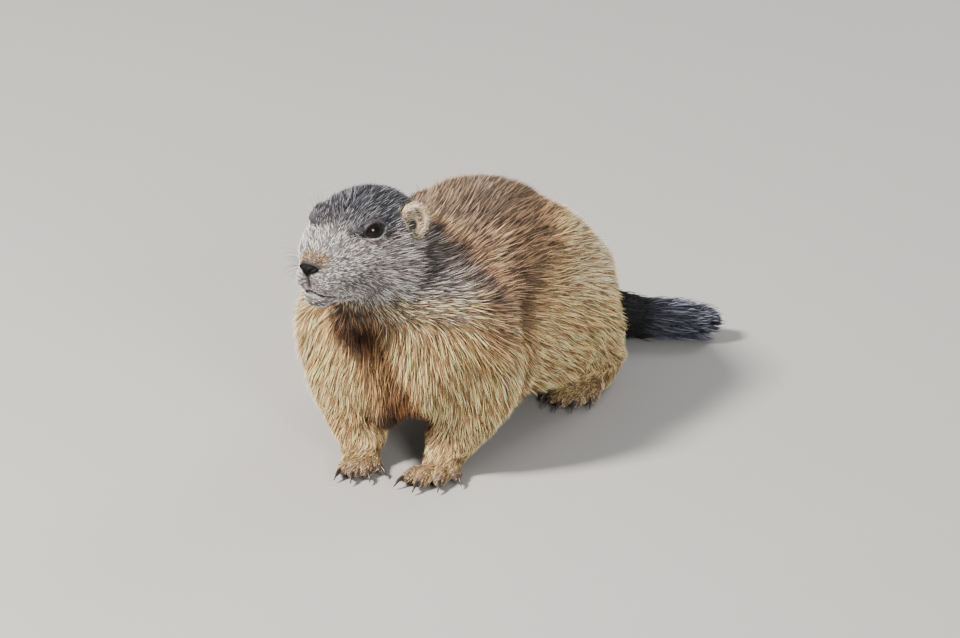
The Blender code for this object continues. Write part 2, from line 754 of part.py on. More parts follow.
def cut_floor(obj):
    """Trim what lies below the floor, so that the soles are flat."""
    below = half_space("below", (0.0, 0.0, 0.0), (0.0, 0.0, -1.0), 0.0)
    boolean(obj, below, "DIFFERENCE")
    remove((below,))
    keep_largest(obj)


def finish_head(head):
    """Cut the sockets, lids, mouth, nostrils and ear pockets, and return the small pieces."""
    pieces = {}
    for word, side in (("left", 1.0), ("right", -1.0)):
        look = looking_frame(EYE_PLACE, EYE_LOOK, side)
        eye = oval("eye_" + word, look, (EYE_RADIUS,) * 3, across=12, along=8)
        triangulate(eye)
        socket = inflated(eye, GAP)
        boolean(head, socket, "DIFFERENCE")
        tilt = Matrix.Rotation(side * LID_TILT, 4, "X")
        slot = look @ tilt @ Matrix.Translation((EYE_RADIUS, 0.0, 0.0))
        opening = oval("opening", slot, (0.0075, *LID_OPENING), across=12, along=6)
        boolean(head, opening, "DIFFERENCE")
        pieces["eye_" + word] = eye
        ear = looking_frame(EAR_PLACES[word], EAR_LOOK, side)
        cup = oval("ear_" + word, ear, EAR_HALF, across=12, along=8)
        triangulate(cup)
        pocket = inflated(cup, GAP)
        boolean(head, pocket, "DIFFERENCE")
        hollow_half = tuple(size * EAR_HOLLOW for size in EAR_HALF)
        shifted = ear @ Matrix.Translation((EAR_HOLLOW_SHIFT, 0.0, 0.0))
        hollow = oval("hollow", shifted, hollow_half, across=12, along=8)
        boolean(cup, hollow, "DIFFERENCE")
        pieces["ear_" + word] = cup
        remove((socket, opening, pocket, hollow))
    slit = mouth_cutter()
    boolean(head, slit, "DIFFERENCE")
    remove((slit,))
    nose = copy_of(head, "nose")
    inner = nose_prism()
    triangulate(inner)
    outer = inflated(inner, GAP)
    boolean(nose, inner, "INTERSECT")
    boolean(head, outer, "DIFFERENCE")
    remove((inner, outer))
    frame = head_frame()
    for side in (1.0, -1.0):
        place = Vector((NOSTRIL[0][0], side * NOSTRIL[0][1], NOSTRIL[0][2]))
        turn = Matrix.Rotation(side * NOSTRIL_TURN, 4, "X")
        hole = oval("nostril", frame @ Matrix.Translation(place) @ turn, NOSTRIL[1], across=8, along=5)
        boolean(nose, hole, "DIFFERENCE")
        remove((hole,))
    keep_largest(nose)
    keep_largest(head)
    pieces["nose"] = nose
    return pieces


def make_regions():
    """The closed regions of the nodes, in the order in which they are parted off."""
    round_head = head_frame() @ Matrix.Translation(HEAD_REGION[0])
    regions = {"head": oval("region", round_head, HEAD_REGION[1], across=14, along=9)}
    for word, rows in FORE_REGIONS.items():
        regions["fore_leg_" + word] = leg_region(rows)
    for word, side in (("left", 1.0), ("right", -1.0)):
        regions["hind_leg_" + word] = leg_region(side_of(HIND_REGION, side))
    regions["tail_base"] = tail_region()
    round_neck = Matrix.Translation(NECK_REGION[0])
    regions["neck"] = oval("region", round_neck, NECK_REGION[1], across=14, along=9)
    for region in regions.values():
        triangulate(region)
    return regions


def make_planes():
    """The flat cuts: the node that is cut, the node parted off, a point and the way to it."""
    planes = []
    for word, rows in FORE_LEGS.items():
        point = Vector((*rows[4][:2], WRIST_HEIGHT))
        planes.append(("fore_leg_" + word, "fore_foot_" + word, point, Vector(WRIST_WAY)))
    for word, side in (("left", 1.0), ("right", -1.0)):
        point = Vector((side * HIND_LEG[3][0], HIND_LEG[3][1], ANKLE_HEIGHT))
        planes.append(("hind_leg_" + word, "hind_foot_" + word, point, Vector(ANKLE_WAY)))
    onward = Vector(TAIL[TAIL_SPLIT + 1][:3]) - Vector(TAIL[TAIL_SPLIT - 1][:3])
    planes.append(("tail_base", "tail_tip", Vector(TAIL[TAIL_SPLIT][:3]), onward))
    return [(one, other, point, way.normalized()) for one, other, point, way in planes]


def part_body(body, regions, planes):
    """Part the whole body into its named pieces."""
    pieces = {}
    for name, region in regions.items():
        pieces[name] = split_by_region(body, name, region)
    for name, other, point, way in planes:
        pieces[other] = split_by_plane(pieces[name], other, point, way)
    pieces["torso"] = body
    pieces.update(finish_head(pieces["head"]))
    return pieces


def add_claws(pieces):
    """Fuse the claws to their toes."""
    for name, foot in FEET.items():
        for claw in claws(foot):
            boolean(pieces[name], claw, "UNION")
            remove((claw,))
        cut_floor(pieces[name])


def paint(obj, name):
    """Give a node its own plain material."""
    key = next(word for word in COLOURS if name.startswith(word))
    red, green, blue, rough = COLOURS[key]
    material = bpy.data.materials.new(name)
    material.use_nodes = True
    shader = material.node_tree.nodes["Principled BSDF"]
    shader.inputs["Base Color"].default_value = (red, green, blue, 1.0)
    shader.inputs["Roughness"].default_value = rough
    obj.data.materials.clear()
    obj.data.materials.append(material)


def centre_on_floor(objects):
    """Bring the middle of the whole over the origin."""
    points = [vert.co for obj in objects for vert in obj.data.vertices]
    middle = [(min(p[axis] for p in points) + max(p[axis] for p in points)) / 2.0 for axis in (0, 1)]
    for obj in objects:
        obj.data.transform(Matrix.Translation((-middle[0], -middle[1], 0.0)))


def surface_tree(obj):
    """A search tree over the faces of an object."""
    return BVHTree.FromPolygons([v.co for v in obj.data.vertices], [p.vertices for p in obj.data.polygons])


def depth_in(tree, point):
    """How deep a point lies in a closed surface, below zero outside it."""
    near, normal, index, distance = tree.find_nearest(point)
    return distance if (point - near).dot(normal) < 0.0 else -distance


def room(name, point, trees, planes):
    """How far a point keeps inside the space of one node, below zero where it leaves it."""
    least = 1.0
    own = "tail_base" if name == "tail_tip" else name
    for key, tree in trees.items():
        depth = depth_in(tree, point)
        if key == own:
            least = min(least, depth)
            break
        least = min(least, -depth)
    for cut, other, place, way in planes:
        ahead = (point - place).dot(way)
        if name == cut:
            least = min(least, -ahead)
        if name == other:
            least = min(least, ahead)
    return min(least, point.z - GAP)


def lie_of_coat(name, point):
    """The way that the hair lies: back along the trunk, down the chest and legs, out along the tail."""
    if name.startswith("tail"):
        rows = smooth_rows(TAIL)
        spine = [Vector(row[:3]) for row in rows]
        nearest = min(range(len(spine)), key=lambda index: (spine[index] - point).length)
        ahead = spine[min(nearest + 1, len(spine) - 1)]
        return (ahead - spine[max(nearest - 1, 0)]).normalized()
    front = min(1.0, max(0.0, (-0.095 - point.y) / 0.035))
    low = min(1.0, max(0.0, (0.150 - point.z) / 0.100))
    down = max(front, 0.55 * low)
    if name.startswith("fore_leg"):
        down = max(down, 0.35 + 0.6 * min(1.0, max(0.0, (0.105 - point.z) / 0.05)))
    if name.startswith("hind_leg"):
        down = max(down, 0.5)
    return Vector((0.0, 1.0 - down, -down)).normalized()


def lock_rings(name, root, sizes, skin):
    """Middle, half width and thickness of each ring of a lock that follows the skin from its root."""
    length, width, height, turn = sizes
    place = root
    near, up, index, distance = skin.find_nearest(place)
    rings = []
    travelled = 0.0
    for share, breadth, lift, thick in LOCK_RINGS:
        lie = lie_of_coat(name, place)
        way = Matrix.Rotation(turn, 3, up) @ (lie - up * lie.dot(up)).normalized()
        place = near + way * length * (share - travelled)
        travelled = share
        near, up, index, distance = skin.find_nearest(place)
        lie = lie_of_coat(name, near)
        way = Matrix.Rotation(turn, 3, up) @ (lie - up * lie.dot(up)).normalized()
        side = way.cross(up).normalized() * breadth * width / 2.0
        rings.append((near + up * lift * height, side, up * thick * breadth * width))
    return rings


def tail_lock_rings(name, root, sizes, skin):
    """Middle, half width and thickness of each ring of a straight lock that leans out from the tail."""
    length, width, height, turn = sizes
    near, up, index, distance = skin.find_nearest(root)
    lie = Matrix.Rotation(turn, 3, up) @ lie_of_coat(name, near)
    out = up - lie * up.dot(lie)
    length *= TAIL_END_SHARE + (1.0 - TAIL_END_SHARE) * out.length
    across = lie.cross(out) if out.length > 0.2 else lie.cross(Vector((0.0, 0.0, 1.0)))
    across.normalize()
    thick_way = across.cross(lie)
    rings = []
    for share, breadth, lift, thick in LOCK_RINGS:
        rise = out if lift > 0.0 else up
        middle = near + lie * length * share + rise * lift * height
        half_width = -across * breadth * width / 2.0
        rings.append((middle, half_width, thick_way * thick * breadth * width))
    return rings


def lock_points(rings):
    """The corners of a lock: three round each ring, and one at the tip."""
    points = []
    for middle, side, thick in rings[:-1]:
        points.append(middle + side - thick * 0.3)
        points.append(middle + thick * 0.7)
        points.append(middle - side - thick * 0.3)
    points.append(rings[-1][0])
    return points


def lock_mesh(name, points):
    """A closed lock from its corners."""
    bm = bmesh.new()
    verts = [bm.verts.new(point) for point in points]
    for ring in range(0, len(verts) - 4, 3):
        for side in range(3):
            one, two = verts[ring + side], verts[ring + (side + 1) % 3]
            three, four = verts[ring + 3 + (side + 1) % 3], verts[ring + 3 + side]
            bm.faces.new((one, two, three))
            bm.faces.new((one, three, four))
    for side in range(3):
        bm.faces.new((verts[-4 + side], verts[-4 + (side + 1) % 3], verts[-1]))
    bm.faces.new(verts[:3])
    return make_object(name, bm)


def crowded(name, one, two, along, across):
    """Whether two roots lie too near each other, counted along the lie of the coat and across it."""
    apart = two - one
    if apart.length > along:
        return False
    ahead = apart.dot(lie_of_coat(name, one))
    aside = math.sqrt(max(0.0, apart.length_squared - ahead * ahead))
    return (ahead / along) ** 2 + (aside / across) ** 2 < 1.0


def plant_locks(body, regions, planes):
    """Scatter roots over the core and grow a lock from each, inside the space of its own node."""
    rng = np.random.default_rng(LOCK_SEED)
    skin = surface_tree(body)
    trees = {name: surface_tree(region) for name, region in regions.items()}
    polygons = body.data.polygons
    weights = np.array([face.area for face in polygons])
    weights[[face.center.y > TAIL[1][1] for face in polygons]] *= TAIL_TRIALS
    chosen = rng.choice(len(weights), size=LOCK_TRIALS, p=weights / weights.sum())
    grown = {name: [] for name in LOCKS}
    roots = {name: [] for name in LOCKS}
    for index in chosen:
        if polygons[index].normal.z < LOCK_UNDERSIDE:
            continue
        corners = [body.data.vertices[vertex].co for vertex in polygons[index].vertices]
        first, second = sorted(rng.random(2))
        point = corners[0] * first + corners[1] * (second - first) + corners[2] * (1.0 - second)
        vary = rng.uniform(0.88, 1.10)
        owners = [name for name in LOCKS if room(name, point, trees, planes) > 0.003]
        if not owners:
            continue
        name = owners[0]
        along, across, length, width, height = LOCKS[name]
        if any(crowded(name, other, point, along, across) for other in roots[name]):
            continue
        on_tail = name.startswith("tail")
        make_rings = tail_lock_rings if on_tail else lock_rings
        for share, turn in itertools.product(LOCK_SHARES, (0.0,) if on_tail else LOCK_TURNS):
            wide = width * vary * (0.4 + 0.6 * share)
            sizes = (length * vary * share, wide, height * (0.5 + 0.5 * share), math.radians(turn))
            points = lock_points(make_rings(name, point, sizes, skin))
            if all(room(name, corner, trees, planes) > LOCK_CLEARANCE for corner in reversed(points)):
                grown[name].append(points)
                roots[name].append(point)
                break
    return grown


def join_locks(pieces, grown):
    """Fuse the locks of each node to it in one union."""
    for name, locks in grown.items():
        group = bpy.data.collections.new("locks_" + name)
        bpy.context.scene.collection.children.link(group)
        made = [lock_mesh("lock", points) for points in locks]
        for lock in made:
            bpy.context.scene.collection.objects.unlink(lock)
            group.objects.link(lock)
        modifier = pieces[name].modifiers.new("locks", "BOOLEAN")
        modifier.operation = "UNION"
        modifier.operand_type = "COLLECTION"
        modifier.collection = group
        modifier.solver = "EXACT" if name.startswith("tail") else "MANIFOLD"
        apply_modifiers(pieces[name])
        remove(made)
        bpy.data.collections.remove(group)
        keep_largest(pieces[name])


def build():
    """Build every node of the marmot."""
    remove(list(bpy.data.objects))
    body = whole_body()
    regions = make_regions()
    planes = make_planes()
    grown = plant_locks(body, regions, planes)
    pieces = part_body(body, regions, planes)
    join_locks(pieces, grown)
    cut_floor(pieces["tail_base"])
    cut_floor(pieces["tail_tip"])
    add_claws(pieces)
    centre_on_floor(pieces.values())
    for name, obj in pieces.items():
        obj.name = name
        obj.data.name = name
        for face in obj.data.polygons:
            face.use_smooth = False
        paint(obj, name)


build()
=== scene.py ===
# %% [markdown]
# # An alpine marmot, life size
# This lesson dresses a marmot whose solids are already built and packed. The solids give the
# size and the pose. What is made here is what the eye sees: one soft skin, a dense coat of
# small tufts that lie along the body, bright eyes under their lids, a bare nose, a closed
# mouth, whiskers, claws and a dark bushy tail. Every shape is worked out from the frame and
# from a few named sizes, in metres.

import math

import bmesh
import bpy
import numpy as np
from mathutils import Matrix, Vector
from mathutils.bvhtree import BVHTree


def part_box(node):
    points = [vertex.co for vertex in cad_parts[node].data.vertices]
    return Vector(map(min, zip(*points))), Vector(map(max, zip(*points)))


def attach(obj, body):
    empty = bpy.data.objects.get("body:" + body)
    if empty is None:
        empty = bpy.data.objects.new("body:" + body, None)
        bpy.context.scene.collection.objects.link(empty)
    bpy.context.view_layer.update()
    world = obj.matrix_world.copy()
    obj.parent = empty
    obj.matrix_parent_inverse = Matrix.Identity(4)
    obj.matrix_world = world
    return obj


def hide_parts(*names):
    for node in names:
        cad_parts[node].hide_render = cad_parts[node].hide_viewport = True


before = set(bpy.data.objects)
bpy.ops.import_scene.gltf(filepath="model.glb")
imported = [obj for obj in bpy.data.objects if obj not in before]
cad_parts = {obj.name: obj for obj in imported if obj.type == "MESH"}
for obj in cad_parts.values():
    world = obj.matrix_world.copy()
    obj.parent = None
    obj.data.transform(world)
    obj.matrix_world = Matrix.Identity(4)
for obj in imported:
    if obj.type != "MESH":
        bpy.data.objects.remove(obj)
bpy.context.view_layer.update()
bpy.ops.object.select_all(action="DESELECT")

# %% [markdown]
# The head has its own frame: back, left and up from the tip of the nose. The solids were
# centred on the floor when they were packed, so the drawing's own zero is found again here
# from the left eye, whose place in the head is known. All places below are in the drawing's
# coordinates, and are moved by `zero` where a mesh is made.

# %% The head's frame and the drawing's zero
NOSE_TIP = Vector((-0.033, -0.183, 0.178))
HEAD_TURN = math.radians(7.0)
HEAD_TIP = math.radians(2.0)
EYE_PLACE = Vector((0.0485, 0.0245, 0.0225))
FAR_EYE_PLACE = Vector((0.0490, 0.0212, 0.0198))
EYE_LOOK = Vector((-0.40, 0.88, 0.22))
EYE_RADIUS = 0.0092
EYE_PLACES = np.array((FAR_EYE_PLACE, EYE_PLACE))
FAR_EAR_DROP = 0.0050
EAR_PLACES = np.array([(0.0845, 0.0415, 0.0085 - FAR_EAR_DROP), (0.0865, 0.0375, 0.0235)])
EAR_LOOK = np.array((-0.72, 0.68, 0.12))

head_back = Vector((math.sin(HEAD_TURN), math.cos(HEAD_TURN), -math.sin(HEAD_TIP))).normalized()
head_left = Vector((math.cos(HEAD_TURN), -math.sin(HEAD_TURN), 0.0))
head_up = -head_back.cross(head_left)
head_up = head_up if head_up.z > 0.0 else -head_up
HEAD_AXES = Matrix((head_back, head_left, head_up)).transposed()


def in_head(back, left, up):
    """A place of the head, as a place of the drawing."""
    return NOSE_TIP + HEAD_AXES @ Vector((back, left, up))


eye_low, eye_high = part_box("eye_left")
zero = (eye_low + eye_high) / 2.0 - in_head(*EYE_PLACE)
zero.z = 0.0
ZERO = np.array(zero)
print("zero of the drawing:", tuple(round(v, 4) for v in zero))

# %% [markdown]
# Markings, lengths and the lie of the hair all change smoothly from place to place. They are
# written as small formulas over arrays of points, so the skin and each tuft on it read the
# same answer. Many of them ask how far a point lies from a line, such as the middle of the
# tail or the corner of the mouth, so those lines come first.

# %% Lines that the shapes and markings follow
TAIL_LINE = np.array(
    [
        (0.000, 0.138, 0.062),
        (0.003, 0.162, 0.042),
        (0.016, 0.185, 0.026),
        (0.037, 0.202, 0.0175),
        (0.055, 0.212, 0.0162),
        (0.069, 0.218, 0.0158),
        (0.085, 0.224, 0.0152),
    ]
)
TAIL_STEPS = np.r_[0.0, np.cumsum(np.linalg.norm(np.diff(TAIL_LINE, axis=0), axis=1))]
TAIL_RADIUS = np.array(
    [
        (0.020, 0.0190),
        (0.045, 0.0155),
        (0.070, 0.0130),
        (0.100, 0.0122),
        (0.120, 0.0116),
        (0.137, 0.0090),
    ]
)
CLEFT = np.array(
    [
        (-0.004, -0.144, 0.112),
        (0.004, -0.144, 0.092),
        (0.015, -0.142, 0.076),
        (0.022, -0.138, 0.062),
        (0.020, -0.124, 0.046),
    ]
)
FOLD = np.array(
    [
        (0.050, -0.014, 0.168),
        (0.065, -0.026, 0.152),
        (0.081, -0.050, 0.127),
        (0.088, -0.056, 0.098),
        (0.084, -0.052, 0.067),
        (0.078, -0.052, 0.040),
    ]
)
STREAK = np.array(
    [
        (0.020, -0.094, 0.192),
        (0.024, -0.092, 0.179),
        (0.031, -0.091, 0.163),
        (0.042, -0.088, 0.155),
        (0.068, -0.092, 0.140),
        (0.081, -0.090, 0.121),
        (0.086, -0.089, 0.104),
    ]
)
MOUTH = np.array(
    [
        (0.0065, 0.0000, -0.0215),
        (0.0085, 0.0060, -0.0224),
        (0.0130, 0.0125, -0.0238),
        (0.0200, 0.0185, -0.0252),
        (0.0290, 0.0225, -0.0265),
    ]
)
print("mouth is", round(float(np.linalg.norm(np.diff(MOUTH, axis=0), axis=1).sum()) * 1000, 1), "mm a side")

# %% [markdown]
# `ramp` is the soft step that most of the formulas are made of, and `along_line` measures from
# a line. Both work on whole arrays of points, which is far quicker than a loop over them.

# %% Soft steps and distances from a line


def ramp(value, low, high):
    """0 at low and 1 at high, with soft ends; low may be the larger."""
    share = np.clip((value - low) / (high - low), 0.0, 1.0)
    return share * share * (3.0 - 2.0 * share)


def head_places(points):
    """Points of the drawing as back, left and up in the head."""
    return (points - np.array(NOSE_TIP)) @ np.array(HEAD_AXES)


def along_line(points, line):
    """How far each point lies from a line of straight lengths, how far along it, and its way there."""
    best = np.full(len(points), 1e9)
    travelled = np.zeros(len(points))
    ways = np.zeros((len(points), 3))
    start = 0.0
    for one, two in zip(line[:-1], line[1:]):
        span = two - one
        length = np.linalg.norm(span)
        share = np.clip((points - one) @ span / length**2, 0.0, 1.0)
        gap = np.linalg.norm(points - one - share[:, None] * span, axis=1)
        nearer = gap < best
        best[nearer] = gap[nearer]
        travelled[nearer] = start + share[nearer] * length
        ways[nearer] = span / length
        start += length
    return best, travelled, ways


def from_tail(points):
    """The nearest places on the tail's middle line, and how far along it they are."""
    along = along_line(points, TAIL_LINE)[1]
    return np.stack([np.interp(along, TAIL_STEPS, TAIL_LINE[:, axis]) for axis in range(3)], axis=1), along


print("tail's middle line is", round(float(TAIL_STEPS[-1]) * 1000, 1), "mm long")

# %% [markdown]
# The mouth is a line on each side, and an eye shows in an almond between two lids, a little
# tipped. Places are mirrored first, so that one formula serves both sides of the head.

# %% The mouth and the eyes' openings


def mouth_gap(head):
    """How far places of the head lie from the line of the mouth."""
    mirrored = head.copy()
    mirrored[:, 1] = np.abs(mirrored[:, 1])
    return along_line(mirrored, MOUTH)[0]


def eye_gap(head):
    """Places of the head seen from the nearer eyeball: how far out, forward and up."""
    mirrored = head.copy()
    mirrored[:, 1] = np.abs(mirrored[:, 1])
    look = np.array(EYE_LOOK.normalized())
    level = np.cross((0.0, 0.0, 1.0), look)
    level /= np.linalg.norm(level)
    upward = np.cross(look, level)
    away = mirrored - EYE_PLACES[(head[:, 1] > 0.0).astype(int)]
    return away @ look, away @ level, away @ upward


EYE_OPENING = (0.0104, 0.0050, 0.0045)
EYE_SHADE = (0.0118, 0.0060, 0.0050)
EYE_DROOP = math.radians(9.5)
EYE_REACH = 0.02


def almond(head, half, above, below):
    """How far places lie outside an almond before the eye, below zero inside, and their height there."""
    out, level, rise = eye_gap(head)
    along = level * math.cos(EYE_DROOP) - rise * math.sin(EYE_DROOP)
    across = rise * math.cos(EYE_DROOP) + level * math.sin(EYE_DROOP)
    reach = np.where(across > 0.0, above, below)
    shape = np.abs(across) / reach + (along / half) ** 2
    slope = np.hypot(1.0 / reach, 2.0 * along / half**2)
    return np.where(out > -0.002, (shape - 1.0) / slope, 1.0), across


print("an eye opens", round(2000.0 * EYE_OPENING[0], 1), "by", round(1000.0 * sum(EYE_OPENING[1:]), 1), "mm")

# %% [markdown]
# A marmot has four toes on each fore foot and five on each hind foot. Each toe is a short line
# that fans out from the heel. The edge of the bare nose and the cup of each ear are formulas
# of the same kind.

# %% Toes, nose and ears
FEET = {
    "fore_left": ((0.043, -0.101), ((-12.0, 0.052), (5.0, 0.054), (23.0, 0.048), (44.0, 0.037))),
    "fore_right": ((-0.020, -0.123), ((5.0, 0.040), (21.0, 0.043), (38.0, 0.041), (58.0, 0.033))),
    "hind_left": ((0.058, 0.118), ((-13.0, 0.066), (-5.0, 0.076), (3.0, 0.079), (11.0, 0.075), (20.0, 0.064))),
    "hind_right": ((-0.058, 0.118), ((13.0, 0.066), (5.0, 0.076), (-3.0, 0.079), (-11.0, 0.075), (-20.0, 0.064))),
}
TOE_RADIUS = 0.0058
TOE_LENGTH = 0.020


def toe_gap(points):
    """How far points lie, seen from above, from the middle line of the nearest toe, and how far along it."""
    flat = points * np.array((1.0, 1.0, 0.0))
    best, along = np.full(len(points), 1.0), np.zeros(len(points))
    for heel, toes in FEET.values():
        for degrees, reach in toes:
            turn = math.radians(degrees)
            out = np.array((math.sin(turn), -math.cos(turn), 0.0))
            start = np.array((*heel, 0.0)) + out * (reach - TOE_LENGTH)
            gap, travelled = along_line(flat, np.array([start, start + out * TOE_LENGTH]))[:2]
            along[gap < best] = travelled[gap < best]
            best = np.minimum(best, gap)
    return best, along


NOSE_EDGE = np.array(
    [
        (-0.0072, 0.0006),
        (-0.0052, 0.0034),
        (-0.0026, 0.0074),
        (-0.0006, 0.0094),
        (0.0010, 0.0088),
        (0.0026, 0.0052),
    ]
)


def nose_gap(head):
    """How far places of the head lie outside the edge of the bare nose, below zero inside it."""
    half = np.interp(head[:, 2], NOSE_EDGE[:, 0], NOSE_EDGE[:, 1])
    above = np.maximum(head[:, 2] - NOSE_EDGE[-1, 0], NOSE_EDGE[0, 0] - head[:, 2])
    gap = np.maximum(np.abs(head[:, 1]) - half, above)
    return np.where(head[:, 0] < 0.012, gap, 1.0)


def ear_away(head):
    """Places of the head seen from the nearer ear: how far out of its cup, forward and up."""
    mirrored = head.copy()
    mirrored[:, 1] = np.abs(mirrored[:, 1])
    away = mirrored - EAR_PLACES[(head[:, 1] > 0.0).astype(int)]
    look = EAR_LOOK / np.linalg.norm(EAR_LOOK)
    level = np.cross((0.0, 0.0, 1.0), look)
    level /= np.linalg.norm(level)
    return away @ look, away @ level, away @ np.cross(look, level)


EAR_SHELL = (0.0085, 0.0140, 0.0155)


def ear_shell(head):
    """1 on the outside of the nearer ear, and less within it."""
    out, forward, high = ear_away(head)
    return np.sqrt((out / EAR_SHELL[0]) ** 2 + (forward / EAR_SHELL[1]) ** 2 + (high / EAR_SHELL[2]) ** 2)


print("toes:", sum(len(toes) for heel, toes in FEET.values()))

# %% [markdown]
# A few moves come again and again in mesh work: making an object, choosing it, applying its
# modifiers, and reading or moving all its points at once. Each gets a helper of its own here.

# %% Helpers for meshes


def make_object(name, mesh):
    """A mesh as an object of the scene."""
    obj = bpy.data.objects.new(name, mesh)
    bpy.context.scene.collection.objects.link(obj)
    return obj


def choose(obj):
    """Selects one object and makes it the active one."""
    bpy.ops.object.select_all(action="DESELECT")
    obj.select_set(True)
    bpy.context.view_layer.objects.active = obj


def apply_all(obj):
    """Applies the modifiers of an object in their order."""
    choose(obj)
    for modifier in list(obj.modifiers):
        bpy.ops.object.modifier_apply(modifier=modifier.name)


def soften(obj, name, rounds, group=""):
    """Adds a Smooth modifier, all over or by a vertex group."""
    smooth = obj.modifiers.new(name, "SMOOTH")
    smooth.vertex_group = group
    smooth.factor = 0.5
    smooth.iterations = rounds


def points_of(obj):
    """The places of an object's vertices."""
    places = np.empty(len(obj.data.vertices) * 3, np.float32)
    obj.data.vertices.foreach_get("co", places)
    return places.reshape(-1, 3).astype(float)


def normals_of(obj):
    """The smooth normals of an object's vertices."""
    ways = np.empty(len(obj.data.vertices) * 3, np.float32)
    obj.data.vertices.foreach_get("normal", ways)
    return ways.reshape(-1, 3).astype(float)


def move_points(obj, places):
    """Puts an object's vertices at new places."""
    obj.data.vertices.foreach_set("co", np.ascontiguousarray(places, np.float32).ravel())
    obj.data.update()


def from_head(head):
    """Places of the head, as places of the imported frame."""
    return np.array(NOSE_TIP) + head @ np.array(HEAD_AXES).T + ZERO


# %% [markdown]
# On the real animal the skin is one piece. It starts here as copies of all the solids of
# flesh, grown by a hair's breadth so that they join, and is remeshed into one closed surface.

# %% One skin from the solids of flesh
FLESH = [
    "head",
    "neck",
    "torso",
    "fore_leg_left",
    "fore_leg_right",
    "fore_foot_left",
    "fore_foot_right",
    "hind_leg_left",
    "hind_leg_right",
    "hind_foot_left",
    "hind_foot_right",
    "tail_base",
    "tail_tip",
]
FILLING = ["eye_left", "eye_right", "nose"]
SKIN_GROW = 0.0004
SKIN_VOXEL = 0.0021


def copy_nodes(name, nodes):
    """Merged copies of some solids, joined into one object."""
    copies = [make_object(name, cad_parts[node].data.copy()) for node in nodes]
    bpy.ops.object.select_all(action="DESELECT")
    for obj in copies:
        obj.select_set(True)
    bpy.context.view_layer.objects.active = copies[0]
    bpy.ops.object.join()
    joined = bpy.context.view_layer.objects.active
    bpy.ops.object.mode_set(mode="EDIT")
    bpy.ops.mesh.select_all(action="SELECT")
    bpy.ops.mesh.remove_doubles(threshold=1e-6)
    bpy.ops.object.mode_set(mode="OBJECT")
    joined.data.materials.clear()
    return joined


def grow_and_remesh(obj, grow, voxel):
    """Grows a shape so that its parts join, and remeshes it as one surface."""
    swell = obj.modifiers.new("swell", "DISPLACE")
    swell.strength = grow
    swell.mid_level = 0.0
    remesh = obj.modifiers.new("remesh", "REMESH")
    remesh.mode = "VOXEL"
    remesh.voxel_size = voxel
    apply_all(obj)


def keep_largest(obj):
    """Drops every loose scrap of a mesh but its largest."""
    bm = bmesh.new()
    bm.from_mesh(obj.data)
    left = set(bm.verts)
    islands = []
    while left:
        island = [left.pop()]
        for vert in island:
            for edge in vert.link_edges:
                other = edge.other_vert(vert)
                if other in left:
                    left.remove(other)
                    island.append(other)
        islands.append(island)
    islands.sort(key=len)
    for island in islands[:-1]:
        bmesh.ops.delete(bm, geom=island, context="VERTS")
    bm.to_mesh(obj.data)
    bm.free()


skin = copy_nodes("skin", FLESH + FILLING)
grow_and_remesh(skin, SKIN_GROW, SKIN_VOXEL)
keep_largest(skin)
print("skin:", len(skin.data.vertices), "points")

# %% [markdown]
# Head, feet, tail and legs have hair, colours and smoothing of their own. `coat_masks` gives
# the share of each place in each of them, and every later step reads those shares.
# A Smooth modifier then takes away the solids' broad locks on the trunk, legs and tail,
# while a vertex group holds the face and feet.

# %% Smooth the trunk
TRUNK_SMOOTHING = 100
FACE_SMOOTHING = 2


def weight_group(obj, name, weights):
    """A vertex group with a weight for each vertex."""
    group = obj.vertex_groups.new(name=name)
    for share in range(1, 11):
        chosen = np.nonzero(np.round(weights * 10.0) == share)[0]
        group.add([int(index) for index in chosen], share / 10.0, "REPLACE")
    return group


def coat_masks(points):
    """Shares of each place on the head, feet, tail, fore legs and hind legs."""
    head = head_places(points)
    on_head = ramp(head[:, 0], 0.115, 0.090) * ramp(head[:, 2], -0.062, -0.044)
    on_head = on_head * ramp(points[:, 2], 0.115, 0.135)
    gap, along = along_line(points, TAIL_LINE)[:2]
    on_tail = ramp(gap, 0.040, 0.030) * ramp(along, 0.008, 0.030)
    on_feet = ramp(points[:, 2], 0.036, 0.020) * (1.0 - on_tail)
    fore = ramp(points[:, 2], 0.120, 0.085) * ramp(points[:, 1], -0.030, -0.055)
    hind = ramp(points[:, 2], 0.090, 0.060) * ramp(points[:, 1], 0.020, 0.060)
    hind = hind * ramp(np.abs(points[:, 0]), 0.020, 0.040) * (1.0 - on_tail)
    return on_head, on_feet, on_tail, fore, hind


on_head, on_feet, on_tail = coat_masks(points_of(skin) - ZERO)[:3]
weight_group(skin, "trunk", np.clip(1.0 - on_head - on_feet, 0.0, 1.0) * (1.0 - 0.7 * on_tail))
soften(skin, "soften the trunk", TRUNK_SMOOTHING, "trunk")
soften(skin, "soften all", FACE_SMOOTHING)
apply_all(skin)
skin.vertex_groups.clear()
print("smoothed:", len(skin.data.vertices), "points")

# %% [markdown]
# The solids are as thick as flesh and half the coat together, so the skin is drawn in along
# its normals to leave room for the hair. It goes deepest in the cleft between the fore legs
# and in the fold behind the shoulder.

# %% Draw the skin in under its coat
TRUNK_DEPTH = 0.0034
HEAD_DEPTH = 0.0030
FACE_EASE = 0.0018
FEET_DEPTH = 0.0011
TAIL_DEPTH = 0.0020
CLEFT_DEPTH = 0.0100
FOLD_DEPTH = 0.0080

